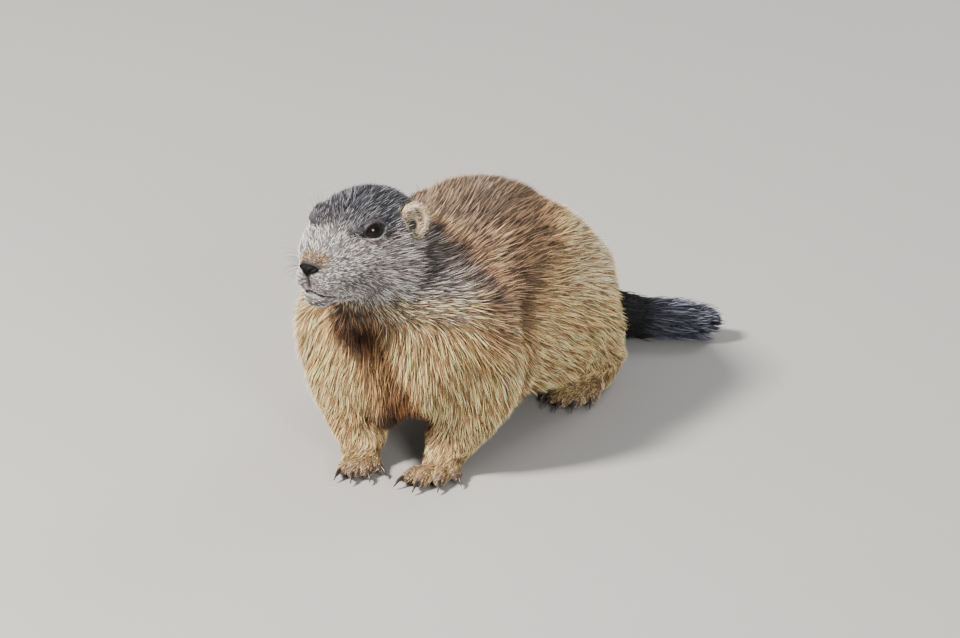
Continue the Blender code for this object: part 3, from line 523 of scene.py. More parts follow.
places = points_of(skin) - ZERO
head = head_places(places)
on_head, on_feet, on_tail = coat_masks(places)[:3]
face = on_head * ramp(head[:, 0], 0.060, 0.030)
depth = np.full(len(places), TRUNK_DEPTH)
depth = depth * (1.0 - on_head) + on_head * (HEAD_DEPTH - FACE_EASE * face)
depth = depth * (1.0 - on_feet) + FEET_DEPTH * on_feet
depth = depth * (1.0 - on_tail) + TAIL_DEPTH * on_tail
depth = depth + CLEFT_DEPTH * ramp(along_line(places, CLEFT)[0], 0.020, 0.001)
depth = depth + FOLD_DEPTH * ramp(along_line(places, FOLD)[0], 0.015, 0.001) * ramp(places[:, 2], 0.140, 0.110)
places = places - normals_of(skin) * depth[:, None]
print("skin drawn in by", round(float(depth.min()) * 1000, 1), "to", round(float(depth.max()) * 1000, 1), "mm")

# %% [markdown]
# The tail is rounded about its own middle line. Crown, brow and the far side of the muzzle are
# swelled or drawn in where the head is seen against the light, and the belly hangs lower in
# two keels between the legs. `HEAD_SWELLS` holds a place, a reach and a lift for each swell.

# %% Round the tail, shape the brow and let the belly hang
HEAD_SWELLS = (
    (0.062, -0.027, 0.034, 0.034, -0.0025),
    (0.050, -0.021, 0.030, 0.018, 0.0036),
    (0.060, -0.014, 0.037, 0.012, 0.0016),
    (0.066, 0.027, 0.036, 0.020, -0.0030),
    (0.102, 0.008, 0.034, 0.042, 0.0060),
)
FAR_PAD_DRAW = 0.0045
KEELS = (((0.012, -0.136, 0.048), 0.034, 0.0140), ((0.070, 0.015, 0.034), 0.050, 0.0090))
SOLE_HEIGHT = 0.0012

middle, along = from_tail(places)
outward = places - middle
radius = np.interp(along, TAIL_RADIUS[:, 0], TAIL_RADIUS[:, 1]) / np.linalg.norm(outward, axis=1)
rounded = (on_tail * ramp(along, 0.022, 0.046))[:, None]
places = places * (1.0 - rounded) + (middle + outward * radius[:, None]) * rounded
places[:, 2] = np.maximum(places[:, 2], SOLE_HEIGHT)
head = head_places(places)
for back, left, up, reach, lift in HEAD_SWELLS:
    away = np.linalg.norm(head - (back, left, up), axis=1)
    places += np.outer(lift * ramp(away, reach, 0.0), head_up)
pad = on_head * ramp(head[:, 1], -0.004, -0.013) * ramp(head[:, 0], 0.042, 0.020)
pad *= ramp(head[:, 2], 0.004, -0.006) * ramp(head[:, 2], -0.030, -0.020)
places += np.outer(FAR_PAD_DRAW * pad, head_left)
for keel, reach, drop in KEELS:
    low = np.linalg.norm((places - keel) / (1.0, 1.3, 0.8), axis=1)
    hang = drop * ramp(low, reach, 0.2 * reach) * (1.0 - on_feet)
    places[:, 2] = np.maximum(places[:, 2] - hang, SOLE_HEIGHT)
move_points(skin, places + ZERO)
print("skin is", [round(float(v) * 1000) for v in np.ptp(places, axis=0)], "mm")

# %% [markdown]
# The muzzle, the eyes and the toes need finer faces than the trunk, for their lips, lids and
# clefts. Faces are chosen by their place and subdivided in edit mode, in three rounds that
# close in on the lips and lids.

# %% Finer faces on the muzzle, eyes and toes
PHILTRUM = (-0.0195, -0.0050)


def subdivide_where(obj, chosen_faces):
    """Cuts the faces whose vertices are all chosen in four."""
    choose(obj)
    bpy.ops.object.mode_set(mode="EDIT")
    bpy.ops.mesh.select_mode(type="VERT")
    bpy.ops.mesh.select_all(action="DESELECT")
    bpy.ops.object.mode_set(mode="OBJECT")
    obj.data.vertices.foreach_set("select", chosen_faces)
    bpy.ops.object.mode_set(mode="EDIT")
    bpy.ops.mesh.subdivide(number_cuts=1, smoothness=0.6)
    bpy.ops.object.mode_set(mode="OBJECT")


def by_eye(head, reach):
    """Whether places of the head lie before an eye, nearer than reach to its middle."""
    out, level, rise = eye_gap(head)
    return (out > 0.0) & (np.hypot(level, rise) < reach) & (out < 0.02)


print("faces before the cuts:", len(skin.data.polygons))


def philtrum(head):
    """The share of each place in the groove from the nose to the mouth."""
    on_front = ramp(head[:, 0], 0.0125, 0.0095) * ramp(head[:, 2], PHILTRUM[0], PHILTRUM[0] + 0.0015)
    on_front = on_front * ramp(head[:, 2], PHILTRUM[1] + 0.0015, PHILTRUM[1])
    return on_front * ramp(np.abs(head[:, 1]), 0.0015, 0.0004)


places = points_of(skin) - ZERO
head = head_places(places)
muzzle = (head[:, 0] < 0.040) & (head[:, 2] > -0.045) & (np.abs(head[:, 1]) < 0.045)
by_toes = (places[:, 2] < 0.024) & (toe_gap(places)[0] < 0.014)
subdivide_where(skin, muzzle | by_eye(head, 0.019) | by_toes)
head = head_places(points_of(skin) - ZERO)
front = (head[:, 0] < 0.014) & (np.abs(head[:, 1]) < 0.004) & (head[:, 2] > -0.024)
subdivide_where(skin, (mouth_gap(head) < 0.006) | by_eye(head, 0.0155) | front)
head = head_places(points_of(skin) - ZERO)
subdivide_where(skin, (mouth_gap(head) < 0.003) | by_eye(head, 0.0125))
print("faces after the cuts:", len(skin.data.polygons))

# %% [markdown]
# The line of the mouth is pressed in by formula, with the lips swelling above and below it. A
# shallow groove runs up from it to the nose, and the toes are parted in the same way.

# %% Press in the mouth and part the toes
MOUTH_DEPTH = 0.0030
LIP_SWELL = 0.0007
GROOVE_DEPTH = 0.0008
TOE_CLEFT = 0.0016

places = points_of(skin) - ZERO
head = head_places(places)
gap = mouth_gap(head)
press = LIP_SWELL * ramp(gap, 0.0012, 0.0026) * ramp(gap, 0.0060, 0.0030) - MOUTH_DEPTH * ramp(gap, 0.0020, 0.0003)
press = press - GROOVE_DEPTH * philtrum(head)
between = toe_gap(places)[0]
cleft = ramp(between, 0.0038, 0.0056) * ramp(between, 0.0120, 0.0090)
press = press - TOE_CLEFT * cleft * ramp(places[:, 2], 0.020, 0.014)
head = head_places(places + normals_of(skin) * press[:, None])
print("pressed in by up to", round(-1000.0 * float(press.min()), 1), "mm")

# %% [markdown]
# An eyelid hugs the eyeball. Around each eye the skin is therefore laid on a sphere a little
# larger than the ball, and inside the almond it goes under it, so that the ball shows there.

# %% Lay the lids over the eyeballs
LID_RISE = 0.0012
LID_GAP = 0.0002
CUP_DEPTH = 0.0016

gap = almond(head, *EYE_OPENING)[0]
sides = np.where(head[:, 1] < 0.0, -1.0, 1.0)
head[:, 1] *= sides
balls = EYE_PLACES[(sides > 0.0).astype(int)]
away = head - balls
distance = np.linalg.norm(away, axis=1)
lid = EYE_RADIUS + LID_GAP + LID_RISE * ramp(gap, -0.0003, 0.0009)
lid = np.where(gap < -0.0003, EYE_RADIUS - CUP_DEPTH, lid)
hug = ramp(gap, 0.0058, 0.0018) * (distance < 0.018)
head = balls + away * (1.0 + hug * (lid / distance - 1.0))[:, None]
head[:, 1] *= sides
move_points(skin, from_head(head))
print("lids lie on", int((hug > 0.0).sum()), "points")

# %% [markdown]
# The ears are thin and need the finest faces, so they are remeshed on their own and joined to
# the skin afterwards. The far one sits a little lower, as the head is tipped.

# %% Join the ears
EARS = ["ear_left", "ear_right"]
EAR_GROW = 0.0001
EAR_VOXEL = 0.0009

ears = copy_nodes("ears", EARS)
grow_and_remesh(ears, EAR_GROW, EAR_VOXEL)
soften(ears, "soften", 3)
apply_all(ears)
places = points_of(ears) - ZERO
far = head_places(places)[:, 1] < 0.0
move_points(ears, places + ZERO - np.outer(far * FAR_EAR_DROP, head_up))
bpy.ops.object.select_all(action="DESELECT")
ears.select_set(True)
skin.select_set(True)
bpy.context.view_layer.objects.active = skin
bpy.ops.object.join()
skin.data.shade_smooth()
print("skin with ears:", len(skin.data.vertices), "points,", len(skin.data.polygons), "faces")

# %% [markdown]
# The tufts' colours also need a flat map of the skin. Smart UV Project unfolds the skin by
# its own shape into islands, and each tuft later takes a small patch at its root's place.

# %% Unfold the skin
choose(skin)
bpy.ops.object.mode_set(mode="EDIT")
bpy.ops.mesh.select_all(action="SELECT")
bpy.ops.uv.smart_project(angle_limit=math.radians(66.0), island_margin=0.002)
bpy.ops.object.mode_set(mode="OBJECT")
skin.data.uv_layers[0].name = "OFBake"
print("unfolded into the map", skin.data.uv_layers[0].name)

# %% [markdown]
# The markings of an alpine marmot: a slate crown over a pale muzzle, grizzled grey cheeks, a
# warm neck and flanks, a darker saddle, golden chest and legs, rusty hair between the fore
# legs and a black tail. Each colour is named once. Most are as they would look in even light,
# but a few are painted shade: the shadow under the jaw, the fold behind the shoulder, the
# underside of the chest, the holes of the ears, and the base of the tail, which is also black.

# %% Colours of the coat


def colour(red, green, blue):
    """An sRGB colour from 0 to 255, as the linear light that shaders use."""
    values = np.array((red, green, blue)) / 255.0
    return np.where(values <= 0.04045, values / 12.92, ((values + 0.055) / 1.055) ** 2.4)


BUFF = colour(236, 184, 124)
GOLD = colour(238, 188, 126)
SADDLE_AND_FOLD_SHADE = colour(104, 82, 63)
SHOULDER = colour(194, 155, 124)
BACK_TOP = colour(112, 93, 77)
RUMP = colour(240, 194, 149)
RUSTY = colour(98, 55, 20)
THROAT_SHADOW = colour(74, 38, 16)
NECK_TAN = colour(194, 146, 102)
NECK_GREY = colour(74, 67, 68)
NECK_SLATE = colour(80, 74, 75)
CHEEK = colour(240, 217, 201)
SLATE = colour(80, 82, 92)
FOREHEAD = colour(100, 97, 106)
MUZZLE = colour(196, 188, 186)
BRIDGE = colour(171, 133, 88)
EAR_TAN = colour(216, 186, 148)
EAR_HOLE_SHADE = colour(30, 22, 18)
EAR_PATCH = colour(27, 28, 36)
EYE_RIM = colour(16, 13, 13)
LID_TAN = colour(112, 84, 66)
LIP = colour(168, 144, 136)
PHILTRUM_TINT = colour(84, 62, 62)
CHIN = colour(186, 180, 172)
FOOT = colour(222, 174, 118)
TOE = colour(118, 106, 100)
SOLE = colour(64, 50, 44)
SHADE_UNDER_CHEST = colour(44, 34, 28)
TAIL_BLACK_AND_SHADE = colour(4, 3, 4)
TAIL_SLATE = colour(86, 89, 102)
print("slate crown, linear:", SLATE.round(3))

# %% [markdown]
# Each colour is mixed over the one before by a mask of its place. A slow three-way sine wobble
# keeps the borders from looking ruled. The body comes first, from the back to the throat.

# %% Markings of the body


def wobble(points, size, seed):
    """A slow wave between -1 and 1 over the points, about as long as size."""
    rng = np.random.default_rng(seed)
    total = np.zeros(len(points))
    for step in range(5):
        way = rng.normal(size=3)
        way /= np.linalg.norm(way)
        total += np.sin(points @ way * (6.283 / size) * rng.uniform(0.6, 1.5) + rng.uniform(0.0, 6.283))
    return total / 3.0


def over(under, paint, mask):
    """Mixes a colour over others by a mask."""
    mask = np.clip(mask, 0.0, 1.0)[:, None]
    return under * (1.0 - mask) + paint * mask


def jaw_shadow_gap(points):
    """How far places lie from the middle of the painted shadow under the jaw, seen from the front."""
    return np.hypot(points[:, 0] + 0.018, (points[:, 2] - 0.128) * 1.1)


def body_markings(points, wave):
    """The colour of the trunk, neck and legs at each place of the drawing."""
    x, y, z = points[:, 0], points[:, 1] + wave, points[:, 2] + wave
    fore, hind = coat_masks(points)[3:]
    tint = np.repeat(BUFF[None, :], len(points), axis=0)
    cape = 0.866 * np.abs(x) + 0.5 * y
    tint = over(tint, SHOULDER, 0.9 * ramp(z, 0.105, 0.130) * ramp(cape, 0.040, 0.026) * ramp(y, -0.090, -0.070))
    tint = over(tint, BACK_TOP, 0.85 * ramp(z, 0.160, 0.174) * ramp(cape, 0.060, 0.030) * ramp(y, -0.080, -0.050))
    tint = over(tint, SADDLE_AND_FOLD_SHADE, 0.90 * ramp(z, 0.110, 0.145) * ramp(cape, 0.014, 0.040) * ramp(cape, 0.090, 0.046))
    # Painted shade in the fold behind the shoulder, in the saddle's colour.
    tint = over(tint, SADDLE_AND_FOLD_SHADE, 0.90 * ramp(along_line(points, FOLD)[0], 0.020, 0.005) * ramp(z, 0.150, 0.120))
    tint = over(tint, RUMP, 0.7 * ramp(cape, 0.060, 0.100) * ramp(z, 0.080, 0.110))
    tint = over(tint, NECK_TAN, 0.9 * ramp(y, -0.055, -0.075) * ramp(z, 0.120, 0.150))
    tint = over(tint, NECK_GREY, 0.75 * ramp(y, -0.066, -0.080) * ramp(z, 0.124, 0.142) * ramp(z, 0.178, 0.164))
    streak = along_line(points, STREAK)[0]
    tint = over(tint, NECK_SLATE, 0.80 * ramp(streak, 0.024, 0.005) * (0.65 + 0.35 * ramp(z, 0.125, 0.150)))
    tint = over(tint, GOLD, 0.9 * np.maximum(fore, 0.35 * hind))
    tint = over(tint, GOLD, 0.7 * ramp(y, -0.095, -0.120) * ramp(z, 0.130, 0.105))
    cleft = along_line(points, CLEFT)[0]
    tint = over(tint, RUSTY, 0.90 * ramp(cleft, 0.026, 0.009))
    # Painted shade, dark rusty, deep in the cleft between the fore legs.
    tint = over(tint, RUSTY * 0.3, 0.9 * ramp(cleft, 0.0065, 0.0015))
    # Painted shade under the chest, between the fore legs.
    between = ramp(np.abs(x - 0.012), 0.034, 0.020) * ramp(z, 0.064, 0.052) * ramp(z, 0.030, 0.040)
    tint = over(tint, SHADE_UNDER_CHEST, 0.9 * between * ramp(y, 0.060, 0.040))
    belly = ramp(z, 0.046, 0.034) * ramp(z, 0.022, 0.030) * ramp(np.abs(x), 0.060, 0.040)
    tint = over(tint, RUSTY, 0.40 * belly * ramp(y, 0.09, 0.06))
    # Painted shadow under the jaw, dark brown, over the throat.
    throat = jaw_shadow_gap(np.stack([x, y, z], axis=1))
    return over(tint, THROAT_SHADOW, 0.95 * ramp(throat, 0.036, 0.012) * ramp(y, -0.110, -0.128))


on_body = body_markings(points_of(skin) - ZERO, 0.0)
print("body, mean linear colour", on_body.mean(0).round(3))

# %% [markdown]
# The head has the finest markings: a pale cheek and muzzle, a dark crown that starts at the
# brow, a sandy bridge behind the nose, dark rims round the eyes, and tan ears whose holes are
# painted dark as shade. The painted shadow under the jaw reaches onto the throat here too.

# %% Markings of the head


def ear_hole(head):
    """The share of each place of the head in the hole of an ear's cup, where shade is painted."""
    out, forward, high = ear_away(head)
    cup = np.sqrt(((out - 0.0042) / 0.0046) ** 2 + (forward / 0.0087) ** 2 + (high / 0.0102) ** 2)
    hole = np.hypot(forward - 0.0018, (high + 0.0042) * 0.8)
    return ramp(cup, 1.25, 1.08) * ramp(hole, 0.0052, 0.0026)


def head_markings(tint, points, wave):
    """The head's own colours over those of the body."""
    head = head_places(points)
    back, side, up = head[:, 0] + wave * 0.4, np.abs(head[:, 1]), head[:, 2] + wave * 0.4
    on_head = coat_masks(points)[0]
    throat = jaw_shadow_gap(points + np.outer(wave, (0.0, 1.0, 1.0)))
    tint = over(tint, GOLD, 0.8 * on_head * ramp(up, -0.024, -0.034) * ramp(back, 0.016, 0.034))
    # Painted shadow under the jaw, dark brown, over the throat.
    tint = over(tint, THROAT_SHADOW, 0.95 * on_head * ramp(throat, 0.036, 0.012) * ramp(up, -0.034, -0.044))
    tint = over(tint, CHEEK, on_head * ramp(up, -0.038, -0.026))
    tint = over(tint, NECK_GREY, 0.9 * on_head * ramp(back, 0.062, 0.096) * ramp(up, -0.036, -0.026))
    tint = over(tint, NECK_TAN, on_head * ramp(back, 0.096, 0.108) * ramp(up, 0.016, 0.024) * 0.8)
    tint = over(tint, FOREHEAD, on_head * ramp(up, 0.006, 0.026) * ramp(back, 0.012, 0.034))
    crown = ramp(up, 0.014, 0.034) * ramp(back, 0.034, 0.060) * ramp(back, 0.116, 0.104)
    tint = over(tint, SLATE, on_head * crown)
    tint = over(tint, MUZZLE, on_head * ramp(back, 0.040, 0.026) * ramp(up, 0.026, 0.016) * ramp(up, -0.030, -0.014))
    tint = over(tint, MUZZLE, 0.5 * on_head * ramp(back, 0.046, 0.030) * ramp(up, 0.014, 0.004))
    bridge = ramp(back, 0.024, 0.010) * ramp(side, 0.018, 0.007) * ramp(up, 0.015, 0.007) * ramp(up, -0.006, 0.000)
    tint = over(tint, BRIDGE, on_head * bridge)
    lower = ramp(up + 0.048 * back, -0.0218, -0.0236)
    tint = over(tint, CHIN, on_head * lower * ramp(back, 0.036, 0.026))
    lip = ramp(back, 0.016, 0.010) * ramp(side, 0.009, 0.005) * ramp(up, -0.006, -0.010)
    tint = over(tint, LIP, 0.6 * on_head * lip * (1.0 - lower))
    tint = over(tint, PHILTRUM_TINT, 0.9 * philtrum(head))
    shade, rise = almond(head, *EYE_SHADE)
    brow = ramp(shade, 0.0075, 0.0020) * ramp(rise, -0.001, 0.004)
    tint = over(tint, SLATE * 0.55, 0.55 * brow)
    tint = over(tint, CHIN, 0.4 * ramp(shade, 0.0034, 0.0018) * ramp(rise, 0.000, -0.002))
    tint = over(tint, LID_TAN, 0.5 * ramp(shade, 0.0016, 0.0008) * ramp(rise, 0.001, 0.003))
    tint = over(tint, EYE_RIM, ramp(shade, 0.0012, 0.0000))
    out, forward, high = ear_away(head)
    behind = np.hypot(forward + 0.0165, (high + 0.004) * 0.45)
    tint = over(tint, EAR_PATCH, 0.85 * ramp(behind, 0.0105, 0.0045) * ramp(side, 0.030, 0.036))
    tint = over(tint, EAR_TAN, ramp(ear_shell(head), 1.25, 1.00) * ramp(side, 0.026, 0.030))
    # Painted shade in the hole of each ear.
    return over(tint, EAR_HOLE_SHADE, ear_hole(head))


print("ear cups dark on", int((ear_hole(head_places(points_of(skin) - ZERO)) > 0.5).sum()), "points")

# %% All the markings


def markings(points):
    """The coat's colour at each place of the drawing."""
    wave = wobble(points, 0.030, 3) * 0.006
    z = points[:, 2] + wave
    on_feet, on_tail = coat_masks(points)[1:3]
    tint = head_markings(body_markings(points, wave), points, wave)
    tint = over(tint, FOOT, on_feet)
    gap, along = toe_gap(points)
    toes = ramp(gap, 0.0105, 0.0070) * ramp(along, 0.006, 0.018)
    tint = over(tint, TOE, 0.75 * ramp(z, 0.018, 0.010) * toes * (1.0 - on_tail))
    along = along_line(points, TAIL_LINE)[1]
    # The tail's hair is black, and its base is painted darker still as shade under the rump.
    tint = over(tint, TAIL_BLACK_AND_SHADE, on_tail)
    return over(tint, TAIL_SLATE, on_tail * ramp(along, 0.086, 0.104))


sample = markings(points_of(skin) - ZERO)
print("markings over the skin, mean linear colour", sample.mean(0).round(3))

# %% [markdown]
# Hair lies the same way on every marmot: back from the nose over the crown and trunk, round
# the cheeks, down the throat, chest and legs, forward on the feet, and out along the tail.
# The way at each place is one more formula, pressed flat to the skin.

# %% The lie of the hair


def unit(ways):
    """Ways of length one."""
    return ways / np.maximum(np.linalg.norm(ways, axis=1, keepdims=True), 1e-9)


def lie_of_hair(points, normals):
    """The way that the hair lies at each place, along the skin."""
    x, y, z = points[:, 0], points[:, 1], points[:, 2]
    head = head_places(points)
    on_head, on_feet, on_tail, fore, hind = coat_masks(points)
    side = np.sign(x - np.where(y < -0.09, -0.010, 0.0))
    flank = ramp(np.abs(normals[:, 2]), 1.0, 0.2)
    down = 0.15 + 0.60 * flank * ramp(z, 0.160, 0.060) + 0.5 * ramp(y, 0.060, 0.140)
    way = np.stack([0.25 * side * flank, np.ones(len(x)), -down], axis=1)
    front = ramp(y, -0.075, -0.125) * ramp(z, 0.165, 0.130)
    low = np.clip(np.maximum(front, fore), 0.0, 1.0)[:, None]
    way = way * (1.0 - low) + np.array((0.0, 0.18, -1.0)) * low
    way = way * (1.0 - hind[:, None]) + np.array((0.0, 0.75, -0.75)) * hind[:, None]
    sides = np.sign(head[:, 1])
    cheek = ramp(head[:, 2], 0.010, -0.030)
    fan = np.stack([np.ones(len(x)), sides * 0.35, 0.16 - 0.75 * cheek], axis=1)
    blaze = ramp(head[:, 0], 0.020, 0.004)[:, None]
    fan = fan * (1.0 - blaze) + np.stack([0.6 + 0.0 * x, sides * 1.0, 0.3 + 0.0 * x], axis=1) * blaze
    head_way = fan @ np.array(HEAD_AXES).T
    way = way * (1.0 - on_head[:, None]) + head_way * on_head[:, None]
    paw = (on_feet * ramp(z, 0.030, 0.016))[:, None]
    way = way * (1.0 - paw) + np.array((0.0, -1.0, -0.35)) * paw
    tail_way = along_line(points, TAIL_LINE)[2]
    way = way * (1.0 - on_tail[:, None]) + tail_way * on_tail[:, None]
    way = way - normals * np.sum(way * normals, axis=1, keepdims=True)
    return unit(way)


combed = lie_of_hair(points_of(skin) - ZERO, normals_of(skin))
print("mean way of the hair", combed.mean(0).round(2))

# %% [markdown]
# Hair is short and dense on the nose, lids and ears, and long and loose on the trunk and tail.
# Four sizes say so for each place: length, height over the skin, half width, and how many
# tufts there are to a square metre. The lips, the nose and the insides of the ears stay bare.

# %% The sizes of the tufts
TRUNK_HAIR = (0.0140, 0.0040, 0.00032, 950000.0)
FOOT_HAIR = (0.0085, 0.0013, 0.00030, 1400000.0)
TOE_HAIR = (0.0044, 0.0008, 0.00032, 1800000.0)
EAR_HAIR = (0.0046, 0.0009, 0.00030, 1600000.0)
LID_HAIR = (0.0024, 0.0005, 0.00026, 2400000.0)
LIP_HAIR = (0.0022, 0.0004, 0.00028, 2200000.0)


def hair_sizes(points, normals):
    """Length, height and half width of the tufts at each place, and their number to a square metre."""
    z = points[:, 2]
    head = head_places(points)
    back, side, up = head[:, 0], np.abs(head[:, 1]), head[:, 2]
    on_head, on_feet, on_tail, fore, hind = coat_masks(points)
    sizes = np.empty((4, len(points)))
    sizes[:] = np.array(TRUNK_HAIR)[:, None]
    legs = np.clip(np.maximum(fore, hind), 0.0, 1.0)
    short = ramp(z, 0.075, 0.030) * legs
    sizes *= np.stack([1.0 - 0.45 * short, 1.0 - 0.50 * short, 1.0 - 0.22 * short, 1.0 + 0.60 * short])

    def change(mask, length, height, width, number):
        """Mixes other sizes in by a mask."""
        there = np.stack([length + 0.0 * z, height + 0.0 * z, width + 0.0 * z, number + 0.0 * z])
        sizes[:] = sizes * (1.0 - mask) + there * mask

    rear = ramp(back, 0.016, 0.092)
    crown = ramp(up, 0.016, 0.030) * ramp(back, 0.030, 0.060)
    length = 0.0033 + 0.0062 * rear - 0.0030 * crown * rear
    number = 2500000.0 - 1000000.0 * rear
    change(on_head, length, 0.0008 + 0.0020 * rear, 0.00027 + 0.00004 * rear, number)
    change(on_feet, *FOOT_HAIR)
    change(on_feet * ramp(toe_gap(points)[0], 0.0060, 0.0040) * ramp(z, 0.016, 0.012), *TOE_HAIR)
    along = along_line(points, TAIL_LINE)[1]
    change(on_tail, 0.0190 - 0.0080 * ramp(along, 0.112, 0.137), 0.0036, 0.00046, 700000.0)
    under = ramp(normals[:, 2], -0.45, -0.75) * (1.0 - on_head)
    sizes[3] *= 1.0 - 0.55 * under

    change(ramp(ear_shell(head), 1.20, 1.00) * ramp(side, 0.026, 0.030), *EAR_HAIR)
    lids = almond(head, *EYE_OPENING)[0]
    change(ramp(lids, 0.0060, 0.0025) * by_eye(head, EYE_REACH), *LID_HAIR)
    change(ramp(mouth_gap(head), 0.0050, 0.0028) * on_head, *LIP_HAIR)
    bare = (mouth_gap(head) < 0.0016) | (lids < 0.0014) & by_eye(head, EYE_REACH)
    bare |= nose_gap(head) < 0.0002
    bare |= (philtrum(head) > 0.4) | (ear_hole(head) > 0.3)
    bare |= (z < 0.0045) & (normals[:, 2] < -0.5)
    sizes[3, bare] = 0.0
    return sizes


lengths = hair_sizes(points_of(skin) - ZERO, normals_of(skin))[0]
print("tufts are", round(lengths.min() * 1000, 1), "to", round(lengths.max() * 1000, 1), "mm long")

# %% [markdown]
# A tuft is a thin three-sided blade that starts just under the skin and tapers to a point.
# Roots are scattered over the skin's triangles by area. For each, the middle and tip are
# dropped back onto the skin and raised by the coat's height there, so that long tufts follow
# the round of the body. Tips are drawn a little together in locks, as guard hairs are.

# %% Scatter the roots
TUFT_SEED = 5


def triangles_of(obj):
    """The corners of an object's triangles, and the loops that they come from."""
    obj.data.calc_loop_triangles()
    corners = np.empty(len(obj.data.loop_triangles) * 3, np.int32)
    loops = np.empty(len(obj.data.loop_triangles) * 3, np.int32)
    obj.data.loop_triangles.foreach_get("vertices", corners)
    obj.data.loop_triangles.foreach_get("loops", loops)
    return corners.reshape(-1, 3), loops.reshape(-1, 3)


skin_points, skin_normals = points_of(skin) - ZERO, normals_of(skin)
skin_corners, skin_loops = triangles_of(skin)
flat_map = np.empty(len(skin.data.loops) * 2, np.float32)
skin.data.uv_layers["OFBake"].data.foreach_get("uv", flat_map)
flat_map = flat_map.reshape(-1, 2)

rng = np.random.default_rng(TUFT_SEED)
one, two, three = (skin_points[skin_corners[:, corner]] for corner in range(3))
areas = np.linalg.norm(np.cross(two - one, three - one), axis=1) / 2.0
centres = (one + two + three) / 3.0
face_ways = unit(np.cross(two - one, three - one))
wanted = areas * hair_sizes(centres, face_ways)[3]
counts = np.floor(wanted + rng.random(len(wanted))).astype(int)
home = np.repeat(np.arange(len(counts)), counts)
first, second = np.sort(rng.random((2, len(home))), axis=0)
shares = np.stack([first, second - first, 1.0 - second], axis=1)
roots = np.einsum("tc,tcx->tx", shares, skin_points[skin_corners[home]])
root_ways = unit(np.einsum("tc,tcx->tx", shares, skin_normals[skin_corners[home]]))
root_map = np.einsum("tc,tcx->tx", shares, flat_map[skin_loops[home]])
tail_middle, along = from_tail(roots)
on_tail = (coat_masks(roots)[2] > 0.5)[:, None] & (along > 0.06)[:, None]
root_ways = np.where(on_tail, unit(roots - tail_middle), root_ways)
kept = hair_sizes(roots, root_ways)[3] > 0.0
roots, root_ways, root_map = roots[kept], root_ways[kept], root_map[kept]
print("tufts:", len(roots))

# %% Comb the tufts along the body
LOCK_SPACING = 0.0040
LOCK_PULL = 0.30
GUARD_COVER = 1.2


def turned(ways, axes, angles):
    """Ways turned about axes at right angles to them."""
    return ways * np.cos(angles)[:, None] + np.cross(axes, ways) * np.sin(angles)[:, None]


body_tree = BVHTree.FromPolygons(
    [Vector(place) for place in skin_points], [tuple(corners) for corners in skin_corners.tolist()]
)


def over_skin(places, raised, old_ways):
    """Places dropped onto the skin and raised over it again, left alone where the skin is far."""
    result = np.empty_like(places)
    for index, place in enumerate(places):
        near, way, face, distance = body_tree.find_nearest(Vector(place), 0.012)
        if near is None:
            result[index] = place + old_ways[index] * raised[index]
        else:
            result[index] = near + way * raised[index]
    return result


def comb(roots, root_ways):
    """Tufts that lie along the body.

    Gives their middles, tips, half widths and shades, which are guard hairs, and which grow true.
    """
    many = len(roots)
    length, height, width, number = hair_sizes(roots, root_ways)
    on_head, on_feet, on_tail = coat_masks(roots)[:3]
    combed = lie_of_hair(roots, root_ways)
    drift = 0.11 * wobble(roots, 0.026, 21) + 0.06 * wobble(roots, 0.010, 22)
    drift = drift * (1.0 - 0.7 * np.maximum(on_head, on_feet))
    combed = turned(combed, root_ways, drift + rng.normal(0.0, 1.0, many) * (0.085 - 0.03 * on_head))
    cover = np.maximum(2.0 * width * length * number, 1e-6)
    guard = rng.random(many) < GUARD_COVER * (1.0 - 0.22 * on_head) / cover
    length = length * rng.uniform(0.70, 1.20, many) * np.where(guard, 1.10, 0.90)
    height = height * np.where(guard, rng.uniform(1.30, 1.90, many), rng.uniform(0.50, 1.15, many))
    width = width * rng.uniform(0.75, 1.25, many)
    tips = over_skin(roots + combed * length[:, None], height, root_ways)
    free = on_tail > 0.5
    tips[free] = roots[free] + combed[free] * length[free, None] + root_ways[free] * height[free, None] * 0.8
    lock_of = np.floor((tips + 1.0) / LOCK_SPACING).astype(np.int64)
    lock_key = (lock_of[:, 0] * 4096 + lock_of[:, 1]) * 4096 + lock_of[:, 2]
    names, lock_index = np.unique(lock_key, return_inverse=True)
    lock_size = np.bincount(lock_index)
    gathered = np.stack([np.bincount(lock_index, tips[:, axis]) / lock_size for axis in range(3)], axis=1)
    pull = LOCK_PULL * ramp(length, 0.006, 0.014) * (1.0 - 0.6 * on_tail) * np.where(guard, 0.3, 1.0)
    tips = tips + (gathered[lock_index] - tips) * pull[:, None]
    middles = (roots + tips) / 2.0 + root_ways * (height * 0.3)[:, None]
    reach = np.linalg.norm(tips - roots, axis=1) / length
    true = (reach > 0.45) & (reach < 1.30) & (np.sum((tips - roots) * root_ways, axis=1) < 0.72 * length)
    shade = rng.normal(0.0, 1.0, len(names))[lock_index]
    return middles, tips, width, shade, guard, true


middles, tips, width, lock_shade, guard, true = comb(roots, root_ways)
roots, root_ways, root_map = roots[true], root_ways[true], root_map[true]
middles, tips, width, lock_shade, guard = middles[true], tips[true], width[true], lock_shade[true], guard[true]
print("tufts combed:", len(roots), "left out where the skin folds:", int((~true).sum()))

# %% [markdown]
# Every blade darkens towards its root, as light fades between hairs. Its colours go into a
# colour attribute, and its patch of the flat map lies where its root does. A blade with a
# single ring keeps its faces flat, because smoothing so few would make it look too dark.

# %% Blades as meshes
ROOT_SHADE = {1: 0.40, 3: 0.14}
FLOOR_GAP = 0.0004
ROOT_DEPTH = 0.0005
PATCH = 0.0030


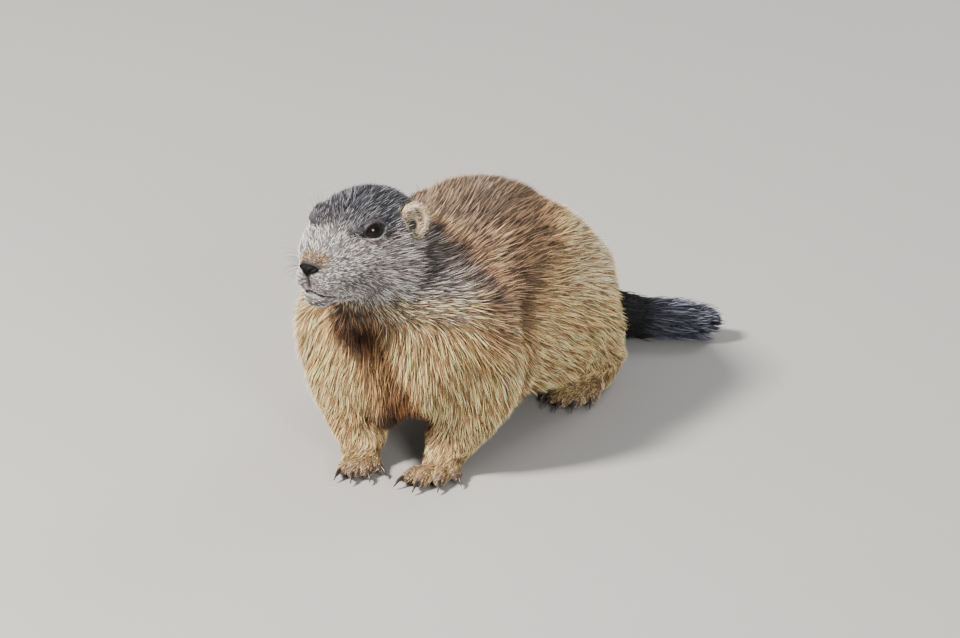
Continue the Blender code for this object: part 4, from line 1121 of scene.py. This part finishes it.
def mesh_of_triangles(name, places, triangles):
    """A mesh from arrays of places and triangles."""
    mesh = bpy.data.meshes.new(name)
    mesh.vertices.add(len(places))
    mesh.vertices.foreach_set("co", np.ascontiguousarray(places, np.float32).ravel())
    mesh.loops.add(triangles.size)
    mesh.loops.foreach_set("vertex_index", np.ascontiguousarray(triangles, np.int32).ravel())
    mesh.polygons.add(len(triangles))
    mesh.polygons.foreach_set("loop_start", np.arange(0, triangles.size, 3, dtype=np.int32))
    mesh.update(calc_edges=True)
    mesh.validate()
    return mesh


def blade_triangles(rings):
    """The triangles of one blade of three-sided rings and a tip, closed at its root."""
    faces = [(0, 1, 2)]
    for ring in range(rings - 1):
        for side in range(3):
            here, there = 3 * ring + side, 3 * ring + (side + 1) % 3
            faces += [(here, here + 3, there), (there, here + 3, there + 3)]
    for side in range(3):
        faces.append((3 * rings - 3 + side, 3 * rings, 3 * rings - 3 + (side + 1) % 3))
    return np.array(faces)


def blades(name, chosen, ring_shares):
    """A mesh of the chosen tufts, with their colours and their patches of the flat map."""
    start = roots[chosen] - root_ways[chosen] * ROOT_DEPTH
    end = tips[chosen]
    bow = 2.0 * middles[chosen] - 0.5 * (start + end)
    rings = []
    for share, breadth in ring_shares:
        middle = (1 - share) ** 2 * start + 2 * share * (1 - share) * bow + share**2 * end
        way = unit((1 - share) * (bow - start) + share * (end - bow))
        across = unit(np.cross(way, root_ways[chosen]))
        upward = np.cross(across, way)
        half = (width[chosen] * breadth)[:, None]
        rings += [middle + across * half, middle - across * half, middle + upward * half * 0.8]
    rings.append(end)
    each = len(rings)
    places = np.stack(rings, axis=1)
    places[..., 2] = np.maximum(places[..., 2], FLOOR_GAP)
    pattern = blade_triangles(len(ring_shares))
    triangles = (np.arange(len(chosen))[:, None, None] * each + pattern[None]).reshape(-1, 3)
    mesh = mesh_of_triangles(name, places.reshape(-1, 3) + ZERO, triangles)

    base = tuft_colour[chosen]
    tip = tip_colour[chosen]
    steps = [share for share, breadth in ring_shares for side in range(3)] + [1.0]
    tints = np.ones((len(chosen), each, 4), np.float32)
    dark_root = ROOT_SHADE[len(ring_shares)]
    for index, share in enumerate(steps):
        shade = dark_root + (1.0 - dark_root) * min(1.0, share / 0.5)
        blend = max(0.0, (share - 0.45) / 0.55)
        tints[:, index, :3] = shade * (base * (1.0 - blend) + tip * blend)
    layer = mesh.color_attributes.new("coat", "FLOAT_COLOR", "POINT")
    layer.data.foreach_set("color", tints.ravel())

    patch = np.zeros((each, 2))
    patch[:, 1] = (np.array(steps) - 0.5) * PATCH
    patch[:, 0] = [(side - 1) * PATCH * 0.5 for share, breadth in ring_shares for side in range(3)] + [0.0]
    flat = (root_map[chosen][:, None, :] + patch[None]).reshape(-1, 2)
    flat = np.clip(flat, 0.0, 1.0)
    uv = mesh.uv_layers.new(name="OFBake")
    uv.data.foreach_set("uv", np.ascontiguousarray(flat[triangles.ravel()], np.float32).ravel())
    if len(ring_shares) > 1:
        mesh.shade_smooth()
    else:
        mesh.shade_flat()
    return make_object(name, mesh)


print("triangles in a blade:", len(blade_triangles(1)), "or", len(blade_triangles(3)))

# %% [markdown]
# Long guard hairs stand over a darker under coat. Many have the dark or pale tips that grizzle
# a marmot's coat, so the tips get their own colours, by chance and by place.

# %% Colours of the tufts
UNDER_SHADE = 0.42
GUARD_SHADE = 1.45
PALE_TIP = colour(252, 225, 188)
PALE_FACE = colour(244, 238, 234)

many = len(roots)
root_tints = markings(roots)
on_head, on_feet, on_tail, on_fore, on_hind = coat_masks(roots)
head = head_places(roots)
on_crown = on_head * ramp(head[:, 2], 0.014, 0.030) * ramp(head[:, 0], 0.030, 0.050)
strength = np.exp(rng.normal(0.0, 0.30, many) + 0.10 * lock_shade)[:, None]
strength *= np.where(guard, GUARD_SHADE + 0.25 * on_head, UNDER_SHADE - 0.20 * on_head)[:, None]
tuft_colour = np.clip(root_tints * strength, 0.0, 1.0)
tip_colour = tuft_colour * 1.25
grizzle = rng.random(many)
dark_share = 0.31 + 0.05 * ramp(roots[:, 2], 0.085, 0.140)
dark_share += 0.02 * on_head + 0.08 * on_crown - 0.14 * on_feet
pale_share = 0.30 + 0.06 * on_head - 0.10 * on_crown
dark = grizzle < dark_share
pale = grizzle > 1.0 - pale_share
tip_colour[dark] = tuft_colour[dark] * 0.18
tuft_colour[dark] *= 0.24
bright = ramp(root_tints[pale].mean(1), 0.04, 0.20)
share = ((0.24 - 0.18 * on_tail[pale]) * bright + 0.42 * on_head[pale])[:, None]
own = tuft_colour[pale] * (1.1 + 0.4 * bright)[:, None]
white = over(np.repeat(PALE_TIP[None, :], pale.sum(), axis=0), PALE_FACE, on_head[pale])
white = white * np.sqrt(tuft_colour[pale].mean(1, keepdims=True) * 2.0)
tip_colour[pale] = own * (1.0 - share) + white * share
tip_colour = np.clip(tip_colour, 0.0, 1.0)
print("dark tips:", int(dark.sum()), "pale tips:", int(pale.sum()))

# %% [markdown]
# The blades are joined into a few meshes of under 200,000 triangles each, one or two to each
# part of the body. The tail's long hair bends, so its blades have three rings, and all the
# others have one.

# %% The coat
PIECE_TRIANGLES = 190000
LONG_RINGS = ((0.0, 0.80), (0.34, 1.0), (0.70, 0.72))
SHORT_RINGS = ((0.0, 1.0),)
groups = {
    "coat_tail": on_tail > 0.5,
    "coat_head": on_head > 0.5,
    "coat_feet": on_feet > 0.5,
    "coat_legs": np.maximum(on_fore, on_hind) > 0.5,
    "coat_trunk": np.ones(many, bool),
}
taken = np.zeros(many, bool)
coats = []
for group_name, members in groups.items():
    some = np.nonzero(members & ~taken)[0]
    taken |= members
    ring_shares = LONG_RINGS if group_name == "coat_tail" else SHORT_RINGS
    pieces = math.ceil(len(some) * len(blade_triangles(len(ring_shares))) / PIECE_TRIANGLES)
    for part in range(pieces):
        coats.append(blades(f"{group_name}_{part + 1}", some[part::pieces], ring_shares))
print("coat pieces:", len(coats), "triangles:", sum(len(coat.data.polygons) for coat in coats))

# %% [markdown]
# The skin has done its work as the ground for the hair, and most of it is hidden now. A
# Decimate modifier merges the edges that matter least, so the flat parts under the coat get
# larger faces, while lips, eyelids and toes keep their shape.

# %% Thin the hidden skin
SKIN_TRIANGLES = 190000
thin = skin.modifiers.new("thin", "DECIMATE")
thin.ratio = SKIN_TRIANGLES / len(skin_corners)
apply_all(skin)
print("skin thinned from", len(skin_corners), "to", len(triangles_of(skin)[0]), "triangles")

# %% [markdown]
# The eyeballs are fine spheres, dark brown with a black pupil, wet and glossy. The skin
# already lies over each one as two lids, parted in an almond.

# %% Eyes


def eye_axes(side):
    """The middle of one eyeball, and its ways out, level and up, in the drawing."""
    place = EYE_PLACES[(side + 1) // 2]
    middle = in_head(place[0], side * place[1], place[2])
    look = (HEAD_AXES @ Vector((EYE_LOOK.x, side * EYE_LOOK.y, EYE_LOOK.z))).normalized()
    upward = HEAD_AXES @ Vector((0.0, 0.0, 1.0))
    level = upward.cross(look).normalized()
    return middle, look, level, look.cross(level)


eyes = {}
for side, name in ((1, "left"), (-1, "right")):
    middle, look, level, upward = eye_axes(side)
    bpy.ops.mesh.primitive_uv_sphere_add(segments=64, ring_count=48, radius=EYE_RADIUS - LID_GAP)
    ball = bpy.context.active_object
    ball.name = ball.data.name = "eyeball_" + name
    turn = Matrix((level, upward, look)).transposed().to_4x4()
    ball.data.transform(Matrix.Translation(middle + zero) @ turn)
    ball.data.shade_smooth()
    shade = ball.data.attributes.new("iris", "FLOAT", "POINT")
    ahead = (points_of(ball) - np.array(middle + zero)) @ np.array(look) / EYE_RADIUS
    shade.data.foreach_set("value", np.degrees(np.arccos(np.clip(ahead, -1.0, 1.0))))
    eyes[name] = ball
print("eyeballs", [tuple(round(v, 4) for v in eye.dimensions) for eye in eyes.values()])

# %% [markdown]
# The bare nose is a copy of its solid, merged and remeshed finely so that its rims turn
# softly. It narrows downwards to the groove over the lip, and a nostril is pressed in on each
# side.

# %% Nose
NOSE_GROW = 0.0005
NOSE_VOXEL = 0.0004
NOSTRIL_DEPTH = 0.0022
nose = copy_nodes("nose_pad", ["nose"])
grow_and_remesh(nose, NOSE_GROW, NOSE_VOXEL)
soften(nose, "soften", 5)
apply_all(nose)
head = head_places(points_of(nose) - ZERO)
low = ramp(head[:, 2], 0.0010, -0.0080)
head[:, 1] *= 1.06 - 0.76 * low
head[:, 2] = np.where(head[:, 2] < -0.002, -0.002 + (head[:, 2] + 0.002) * 0.55, head[:, 2] * 0.85 - 0.0002)
along = (np.abs(head[:, 1]) - 0.0054) * 0.80 + (head[:, 2] + 0.0006) * 0.60
across = (head[:, 2] + 0.0006) * 0.80 - (np.abs(head[:, 1]) - 0.0054) * 0.60
head[:, 0] += NOSTRIL_DEPTH * ramp(np.hypot(along / 0.0030, across / 0.0012), 1.15, 0.55) * (head[:, 0] < 0.005)
head[:, 0] += 0.0006 * ramp(np.abs(head[:, 1]), 0.0008, 0.0002) * (head[:, 0] < 0.003)
head[:, 2] -= 0.0007
move_points(nose, from_head(head))
nose.data.shade_smooth()
print("nose pad:", len(nose.data.polygons), "faces")

# %% [markdown]
# Claws and whiskers are both closed tubes that taper along a bent path. A claw is narrower
# across than it is high, as a blade of horn is, and springs from the end of its toe.

# %% Tapered tubes and claws
CLAW_LENGTH = 0.0135
CLAW_STEPS = 8
CLAW_SIDES = 12


def tapered_tube(bm, path, radii, sides, squash=1.0):
    """A closed tube along a path, tapering by its radii, narrower across than it is high."""
    rings = []
    for index, (place, radius) in enumerate(zip(path, radii)):
        ahead = (path[min(index + 1, len(path) - 1)] - path[max(index - 1, 0)]).normalized()
        across = ahead.cross(Vector((0.0, 0.0, 1.0)))
        across = across.normalized() if across.length > 1e-6 else Vector((1.0, 0.0, 0.0))
        upward = across.cross(ahead)
        ring = []
        for turn in range(sides):
            spin = 2.0 * math.pi * turn / sides
            offset = across * math.cos(spin) * squash + upward * math.sin(spin)
            ring.append(bm.verts.new(place + offset * radius))
        rings.append(ring)
    for ring, following in zip(rings[:-1], rings[1:]):
        for turn in range(sides):
            corners = (ring[turn], ring[(turn + 1) % sides], following[(turn + 1) % sides], following[turn])
            bm.faces.new(corners)
    bm.faces.new(rings[0])
    bm.faces.new(rings[-1])


def finish_tubes(name, bm):
    """The tubes as one object in the frame."""
    bmesh.ops.recalc_face_normals(bm, faces=bm.faces)
    bmesh.ops.translate(bm, verts=bm.verts, vec=zero)
    mesh = bpy.data.meshes.new(name)
    bm.to_mesh(mesh)
    bm.free()
    mesh.shade_smooth()
    return make_object(name, mesh)


bm = bmesh.new()
for heel, toes in FEET.values():
    for degrees, reach in toes:
        turn = math.radians(degrees)
        out = Vector((math.sin(turn), -math.cos(turn), 0.0))
        path, radii = [], []
        for step in range(CLAW_STEPS + 1):
            share = step / CLAW_STEPS
            place = Vector((*heel, 0.0)) + out * (reach - 0.0045 + CLAW_LENGTH * share)
            place.z = TOE_RADIUS * 1.02 + 0.0016 * math.sin(math.pi * share) - 0.0036 * share**2
            path.append(place)
            radii.append(0.0023 * (1.0 - share) ** 0.62 + 0.00018)
        tapered_tube(bm, path, radii, CLAW_SIDES, squash=0.72)
claws = finish_tubes("claws", bm)
print("claws:", len(claws.data.polygons), "faces")

# %% [markdown]
# Whiskers spring from the sides of the muzzle in four rows of five, the longest at the back,
# and sag a little towards their tips. Four shorter ones stand over each eye.

# %% Whiskers
WHISKER_SEED = 8
WHISKER_ROWS = 4
WHISKER_COLUMNS = 5
WHISKER_STEPS = 9
WHISKER_RADIUS = 0.00016
BROW_HAIRS = 4
BROW_STEPS = 7
BROW_RADIUS = 0.00013
BROW_LENGTH = 0.019
TIP_RADIUS = 0.00003
WHISKER_SIDES = 5

whisker_rng = np.random.default_rng(WHISKER_SEED)
bm = bmesh.new()
for side in (1, -1):
    for row in range(WHISKER_ROWS):
        for column in range(WHISKER_COLUMNS):
            back = 0.010 + 0.0042 * column + whisker_rng.uniform(-0.0006, 0.0006)
            up = -0.0085 - 0.0032 * row + 0.0010 * column
            reach = 0.030 + 0.006 * column + whisker_rng.uniform(-0.006, 0.004)
            start = Vector((back, side * 0.030, up))
            near, way, face, distance = body_tree.find_nearest(NOSE_TIP + HEAD_AXES @ start)
            spread = Vector((0.55, side * 0.80, -0.25 + 0.06 * (2 - row)))
            ahead = (HEAD_AXES @ spread).normalized()
            sag = whisker_rng.uniform(0.10, 0.22)
            path, radii = [], []
            for step in range(WHISKER_STEPS + 1):
                share = step / WHISKER_STEPS
                fall = Vector((0.0, 0.0, -sag * reach * share**2))
                path.append(near - way * 0.001 + ahead * reach * share + fall)
                radii.append(WHISKER_RADIUS * (1.0 - share) + TIP_RADIUS)
            tapered_tube(bm, path, radii, WHISKER_SIDES)
    for index in range(BROW_HAIRS):
        start = Vector((0.036 + 0.004 * index, side * 0.022, 0.034))
        near, way, face, distance = body_tree.find_nearest(NOSE_TIP + HEAD_AXES @ start)
        ahead = (HEAD_AXES @ Vector((0.30 + 0.12 * index, side * 0.55, 0.75))).normalized()
        path, radii = [], []
        for step in range(BROW_STEPS + 1):
            share = step / BROW_STEPS
            fall = Vector((0.0, 0.0, -0.004 * share**2))
            path.append(near - way * 0.001 + ahead * BROW_LENGTH * share + fall)
            radii.append(BROW_RADIUS * (1.0 - share) + TIP_RADIUS)
        tapered_tube(bm, path, radii, WHISKER_SIDES)
whiskers = finish_tubes("whiskers", bm)
print("whiskers:", len(whiskers.data.polygons), "faces")

# %% [markdown]
# Skin, hair, horn and nose all vary a little from place to place. One shader group makes that
# variation from the surface's own Object coordinates: it takes a colour, a size and an amount,
# and gives back the colour and a height for a bump.

# %% A shared group for uneven colour


def add_node(tree, kind, place, **values):
    """A node at a place of the tree, with some of its sockets set."""
    node = tree.nodes.new(kind)
    node.location = place
    for key, value in values.items():
        node.inputs[key.replace("_", " ")].default_value = value
    return node


uneven = bpy.data.node_groups.new("uneven colour", "ShaderNodeTree")
uneven.interface.new_socket("Color", in_out="INPUT", socket_type="NodeSocketColor")
uneven.interface.new_socket("Scale", in_out="INPUT", socket_type="NodeSocketFloat")
uneven.interface.new_socket("Amount", in_out="INPUT", socket_type="NodeSocketFloat")
uneven.interface.new_socket("Color", in_out="OUTPUT", socket_type="NodeSocketColor")
uneven.interface.new_socket("Height", in_out="OUTPUT", socket_type="NodeSocketFloat")
group_in = add_node(uneven, "NodeGroupInput", (-800, 0))
group_out = add_node(uneven, "NodeGroupOutput", (500, 0))
where = add_node(uneven, "ShaderNodeTexCoord", (-800, -200))
noise = add_node(uneven, "ShaderNodeTexNoise", (-500, -100), Detail=4.0, Roughness=0.6)
spread = add_node(uneven, "ShaderNodeMapRange", (-250, -100), From_Min=0.25, From_Max=0.75, To_Min=-1.0)
amount = add_node(uneven, "ShaderNodeMath", (-50, -100))
amount.operation = "MULTIPLY"
lift = add_node(uneven, "ShaderNodeMath", (120, -100))
lift.operation = "ADD"
lift.inputs[1].default_value = 1.0
tinted = add_node(uneven, "ShaderNodeVectorMath", (300, 0))
tinted.operation = "SCALE"
uneven.links.new(where.outputs["Object"], noise.inputs["Vector"])
uneven.links.new(group_in.outputs["Scale"], noise.inputs["Scale"])
uneven.links.new(noise.outputs["Fac"], spread.inputs["Value"])
uneven.links.new(spread.outputs["Result"], amount.inputs[0])
uneven.links.new(group_in.outputs["Amount"], amount.inputs[1])
uneven.links.new(amount.outputs["Value"], lift.inputs[0])
uneven.links.new(group_in.outputs["Color"], tinted.inputs[0])
uneven.links.new(lift.outputs["Value"], tinted.inputs["Scale"])
uneven.links.new(tinted.outputs["Vector"], group_out.inputs["Color"])
uneven.links.new(noise.outputs["Fac"], group_out.inputs["Height"])
print("group:", uneven.name)


# %% [markdown]
# Every finish starts as one Principled shader with the shared group before it. A finish that
# needs more, such as an attribute for its colour, adds its own nodes to that start.

# %% A start for each finish


def finish(name, scale, amount, bump, distance, **values):
    """A material whose colour and bump come from the shared group; returns it, its tree and the group node."""
    material = bpy.data.materials.new(name)
    material.use_nodes = True
    tree = material.node_tree
    shader = tree.nodes["Principled BSDF"]
    for key, value in values.items():
        shader.inputs[key.replace("_", " ")].default_value = value
    group = add_node(tree, "ShaderNodeGroup", (-500, 200))
    group.node_tree = uneven
    group.inputs["Scale"].default_value = scale
    group.inputs["Amount"].default_value = amount
    tree.links.new(group.outputs["Color"], shader.inputs["Base Color"])
    if bump:
        relief = add_node(tree, "ShaderNodeBump", (-250, -200), Strength=bump, Distance=distance)
        tree.links.new(group.outputs["Height"], relief.inputs["Height"])
        tree.links.new(relief.outputs["Normal"], shader.inputs["Normal"])
    return material, tree, group


def read_attribute(tree, name):
    """A node that reads a named attribute of the surface."""
    node = add_node(tree, "ShaderNodeAttribute", (-800, 200))
    node.attribute_name = name
    return node


def wear(obj, material):
    """Gives an object its one material."""
    obj.data.materials.clear()
    obj.data.materials.append(material)


print("materials so far:", len(bpy.data.materials))

# %% [markdown]
# The coat and the skin read the markings from a colour attribute, so both agree. Hair is
# rather matt, with a little sheen.

# %% The coat's finish
coat_finish, tree, group = finish(
    "coat", 260.0, 0.08, 0.0, 0.0, Roughness=0.62, Sheen_Weight=0.05, Sheen_Roughness=0.5
)
coat_finish.node_tree.nodes["Principled BSDF"].inputs["Specular IOR Level"].default_value = 0.22
tree.links.new(read_attribute(tree, "coat").outputs["Color"], group.inputs["Color"])
for coat in coats:
    wear(coat, coat_finish)
print("coat finished on", len(coats), "pieces")

# %% [markdown]
# The skin under the hair is painted darker, as shade between the hairs, with a fine bump of
# pores and short lying hair. It shows at full strength only on the ears and round the eyes. In
# the crease of the mouth and at the edge of the nose it is painted almost black as shade, and
# it is almost black on the rims of the eyes.

# %% The skin's finish
skin_finish, tree, group = finish("skin", 700.0, 0.22, 0.5, 0.0006, Roughness=0.75)
tree.links.new(read_attribute(tree, "coat").outputs["Color"], group.inputs["Color"])
SKIN_SHADE = 0.16
MOUTH_AND_NOSE_SHADE = colour(18, 13, 13)
places = points_of(skin) - ZERO
tints = markings(places)
head = head_places(places)
on_head = coat_masks(places)[0]
rim = almond(head, *EYE_OPENING)[0]
lit = on_head * np.maximum(0.2 * ramp(mouth_gap(head), 0.0050, 0.0030), 0.6 * ramp(ear_shell(head), 1.2, 1.0))
lit = np.maximum(lit, ramp(rim, 0.0030, 0.0015) * by_eye(head, EYE_REACH))
tints = tints * (SKIN_SHADE + (1.0 - SKIN_SHADE) * lit)[:, None]
# Painted shade, almost black, in the crease of the mouth and at the edge of the nose.
tints = over(tints, MOUTH_AND_NOSE_SHADE, on_head * ramp(mouth_gap(head), 0.0025, 0.0012))
tints = over(tints, MOUTH_AND_NOSE_SHADE, on_head * ramp(nose_gap(head), 0.0012, 0.0004))
tints = over(tints, EYE_RIM, by_eye(head, EYE_REACH) * ramp(rim, 0.0016, 0.0008))
tints = over(tints, SOLE, (places[:, 2] < 0.006) * ramp(normals_of(skin)[:, 2], -0.3, -0.6))
layer = skin.data.color_attributes.new("coat", "FLOAT_COLOR", "POINT")
layer.data.foreach_set("color", np.c_[tints, np.ones(len(tints))].astype(np.float32).ravel())
wear(skin, skin_finish)
print("skin, mean linear colour", tints.mean(0).round(3))

# %% [markdown]
# An eye is almost black in the open air: a dark brown iris round a black pupil, under a clear
# wet coat that catches the light. The angle from where the eye looks was stored as an
# attribute, and a colour ramp reads it.

# %% The eyes' finish
eye_finish, tree, group = finish(
    "eye",
    900.0,
    0.30,
    0.0,
    0.0,
    Roughness=0.25,
    Specular_IOR_Level=0.05,
    Coat_Weight=0.38,
    Coat_Roughness=0.02,
)
angle = read_attribute(tree, "iris")
bands = add_node(tree, "ShaderNodeValToRGB", (-780, 0))
turn = add_node(tree, "ShaderNodeMapRange", (-960, 0), From_Min=0.0, From_Max=90.0)
tree.links.new(angle.outputs["Fac"], turn.inputs["Value"])
tree.links.new(turn.outputs["Result"], bands.inputs["Fac"])
tree.links.new(bands.outputs["Color"], group.inputs["Color"])
stops = (
    (0.0, (2, 2, 3)),
    (0.24, (3, 2, 2)),
    (0.27, (10, 6, 5)),
    (0.44, (16, 10, 7)),
    (0.50, (6, 4, 4)),
    (0.60, (4, 3, 3)),
)
while len(bands.color_ramp.elements) < len(stops):
    bands.color_ramp.elements.new(0.5)
for element, (position, paint) in zip(bands.color_ramp.elements, stops):
    element.position = position
    element.color = (*colour(*paint), 1.0)
for eye in eyes.values():
    wear(eye, eye_finish)
print("bands in an eye:", len(bands.color_ramp.elements))

# %% [markdown]
# The nose is bare, dark leather with a coarse grain, and rather matt. Claws are dark, worn
# horn, and the whiskers are almost black.

# %% Nose, claws and whiskers


def plain_finish(name, paint, scale, amount, bump, distance, **values):
    """A finish of one uneven colour."""
    material, tree, group = finish(name, scale, amount, bump, distance, **values)
    group.inputs["Color"].default_value = (*paint, 1.0)
    return material


leather = plain_finish(
    "nose leather", colour(9, 7, 8), 1600.0, 0.45, 0.9, 0.0004, Roughness=0.60, Specular_IOR_Level=0.08
)
wear(nose, leather)
wear(claws, plain_finish("claw horn", colour(46, 38, 32), 700.0, 0.40, 0.3, 0.0003, Roughness=0.34))
wear(whiskers, plain_finish("whisker", colour(40, 34, 30), 300.0, 0.30, 0.0, 0.0, Roughness=0.40))
print("finishes:", len(bpy.data.materials))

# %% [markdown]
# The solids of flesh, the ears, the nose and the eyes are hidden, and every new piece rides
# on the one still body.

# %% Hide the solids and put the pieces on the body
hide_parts(*FLESH, *EARS)
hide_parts("nose")
for name, eye in eyes.items():
    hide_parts("eye_" + name)
for piece in [skin, nose, claws, whiskers, *eyes.values(), *coats]:
    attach(piece, "root")
print("pieces:", len(coats) + 6)

# %% [markdown]
# The studio is a plain pale floor under soft lights. The key is broad and high on the left,
# as the sun was, a wide fill opens the shadows, and a light from behind draws the edge of
# the coat. The camera looks from the marmot's front left and from above, with a long lens.

# %% Floor
bpy.ops.mesh.primitive_plane_add(size=12.0, location=(0.0, 0.0, 0.0))
floor = bpy.context.active_object
floor.name = floor.data.name = "studio_floor"
wear(floor, plain_finish("studio floor", colour(145, 143, 141), 2.0, 0.02, 0.0, 0.0, Roughness=0.85))
print("floor:", floor.name)

# %% Soft lights
world = bpy.data.worlds.new("studio")
bpy.context.scene.world = world
world.use_nodes = True
world.node_tree.nodes["Background"].inputs["Color"].default_value = (0.92, 0.95, 1.0, 1.0)
world.node_tree.nodes["Background"].inputs["Strength"].default_value = 0.60


CHEST = Vector((0.0, 0.0, 0.08))


def soft_light(name, place, size, watts, warmth):
    """A square area light that faces the marmot."""
    bpy.ops.object.light_add(type="AREA", location=place)
    light = bpy.context.active_object
    light.name = light.data.name = name
    light.data.size = size
    light.data.energy = watts
    light.data.color = warmth
    light.rotation_euler = (CHEST - Vector(place)).to_track_quat("-Z", "Y").to_euler()
    return light


soft_light("key", (-1.2, -1.5, 2.1), 0.5, 290.0, (1.0, 0.95, 0.88))
soft_light("fill", (2.2, -1.8, 1.2), 0.9, 84.0, (1.0, 0.98, 0.95))
soft_light("back", (0.4, 2.2, 1.7), 1.0, 36.0, (1.0, 0.98, 0.95))

# %% [markdown]
# The camera stands 12 m away, which flattens the view as a long lens does. Its focal length
# follows from how many pixels of a 960 pixel wide image one metre of the marmot takes.

# %% Camera
AZIMUTH = math.radians(30.0)
ELEVATION = math.radians(22.0)
DISTANCE = 12.0
PIXELS_A_METRE = 1300.0
IMAGE_WIDTH = 960.0
AIM = Vector((0.016, -0.0035, 0.083))

level = math.cos(ELEVATION)
forward = Vector((-math.sin(AZIMUTH) * level, math.cos(AZIMUTH) * level, -math.sin(ELEVATION)))
bpy.ops.object.camera_add(location=AIM + zero - forward * DISTANCE)
camera = bpy.context.active_object
camera.rotation_euler = forward.to_track_quat("-Z", "Y").to_euler()
camera.data.sensor_width = 36.0
camera.data.lens = PIXELS_A_METRE * DISTANCE * camera.data.sensor_width / IMAGE_WIDTH
camera.data.clip_end = 100.0
bpy.context.scene.camera = camera
print("lens", round(camera.data.lens), "mm")
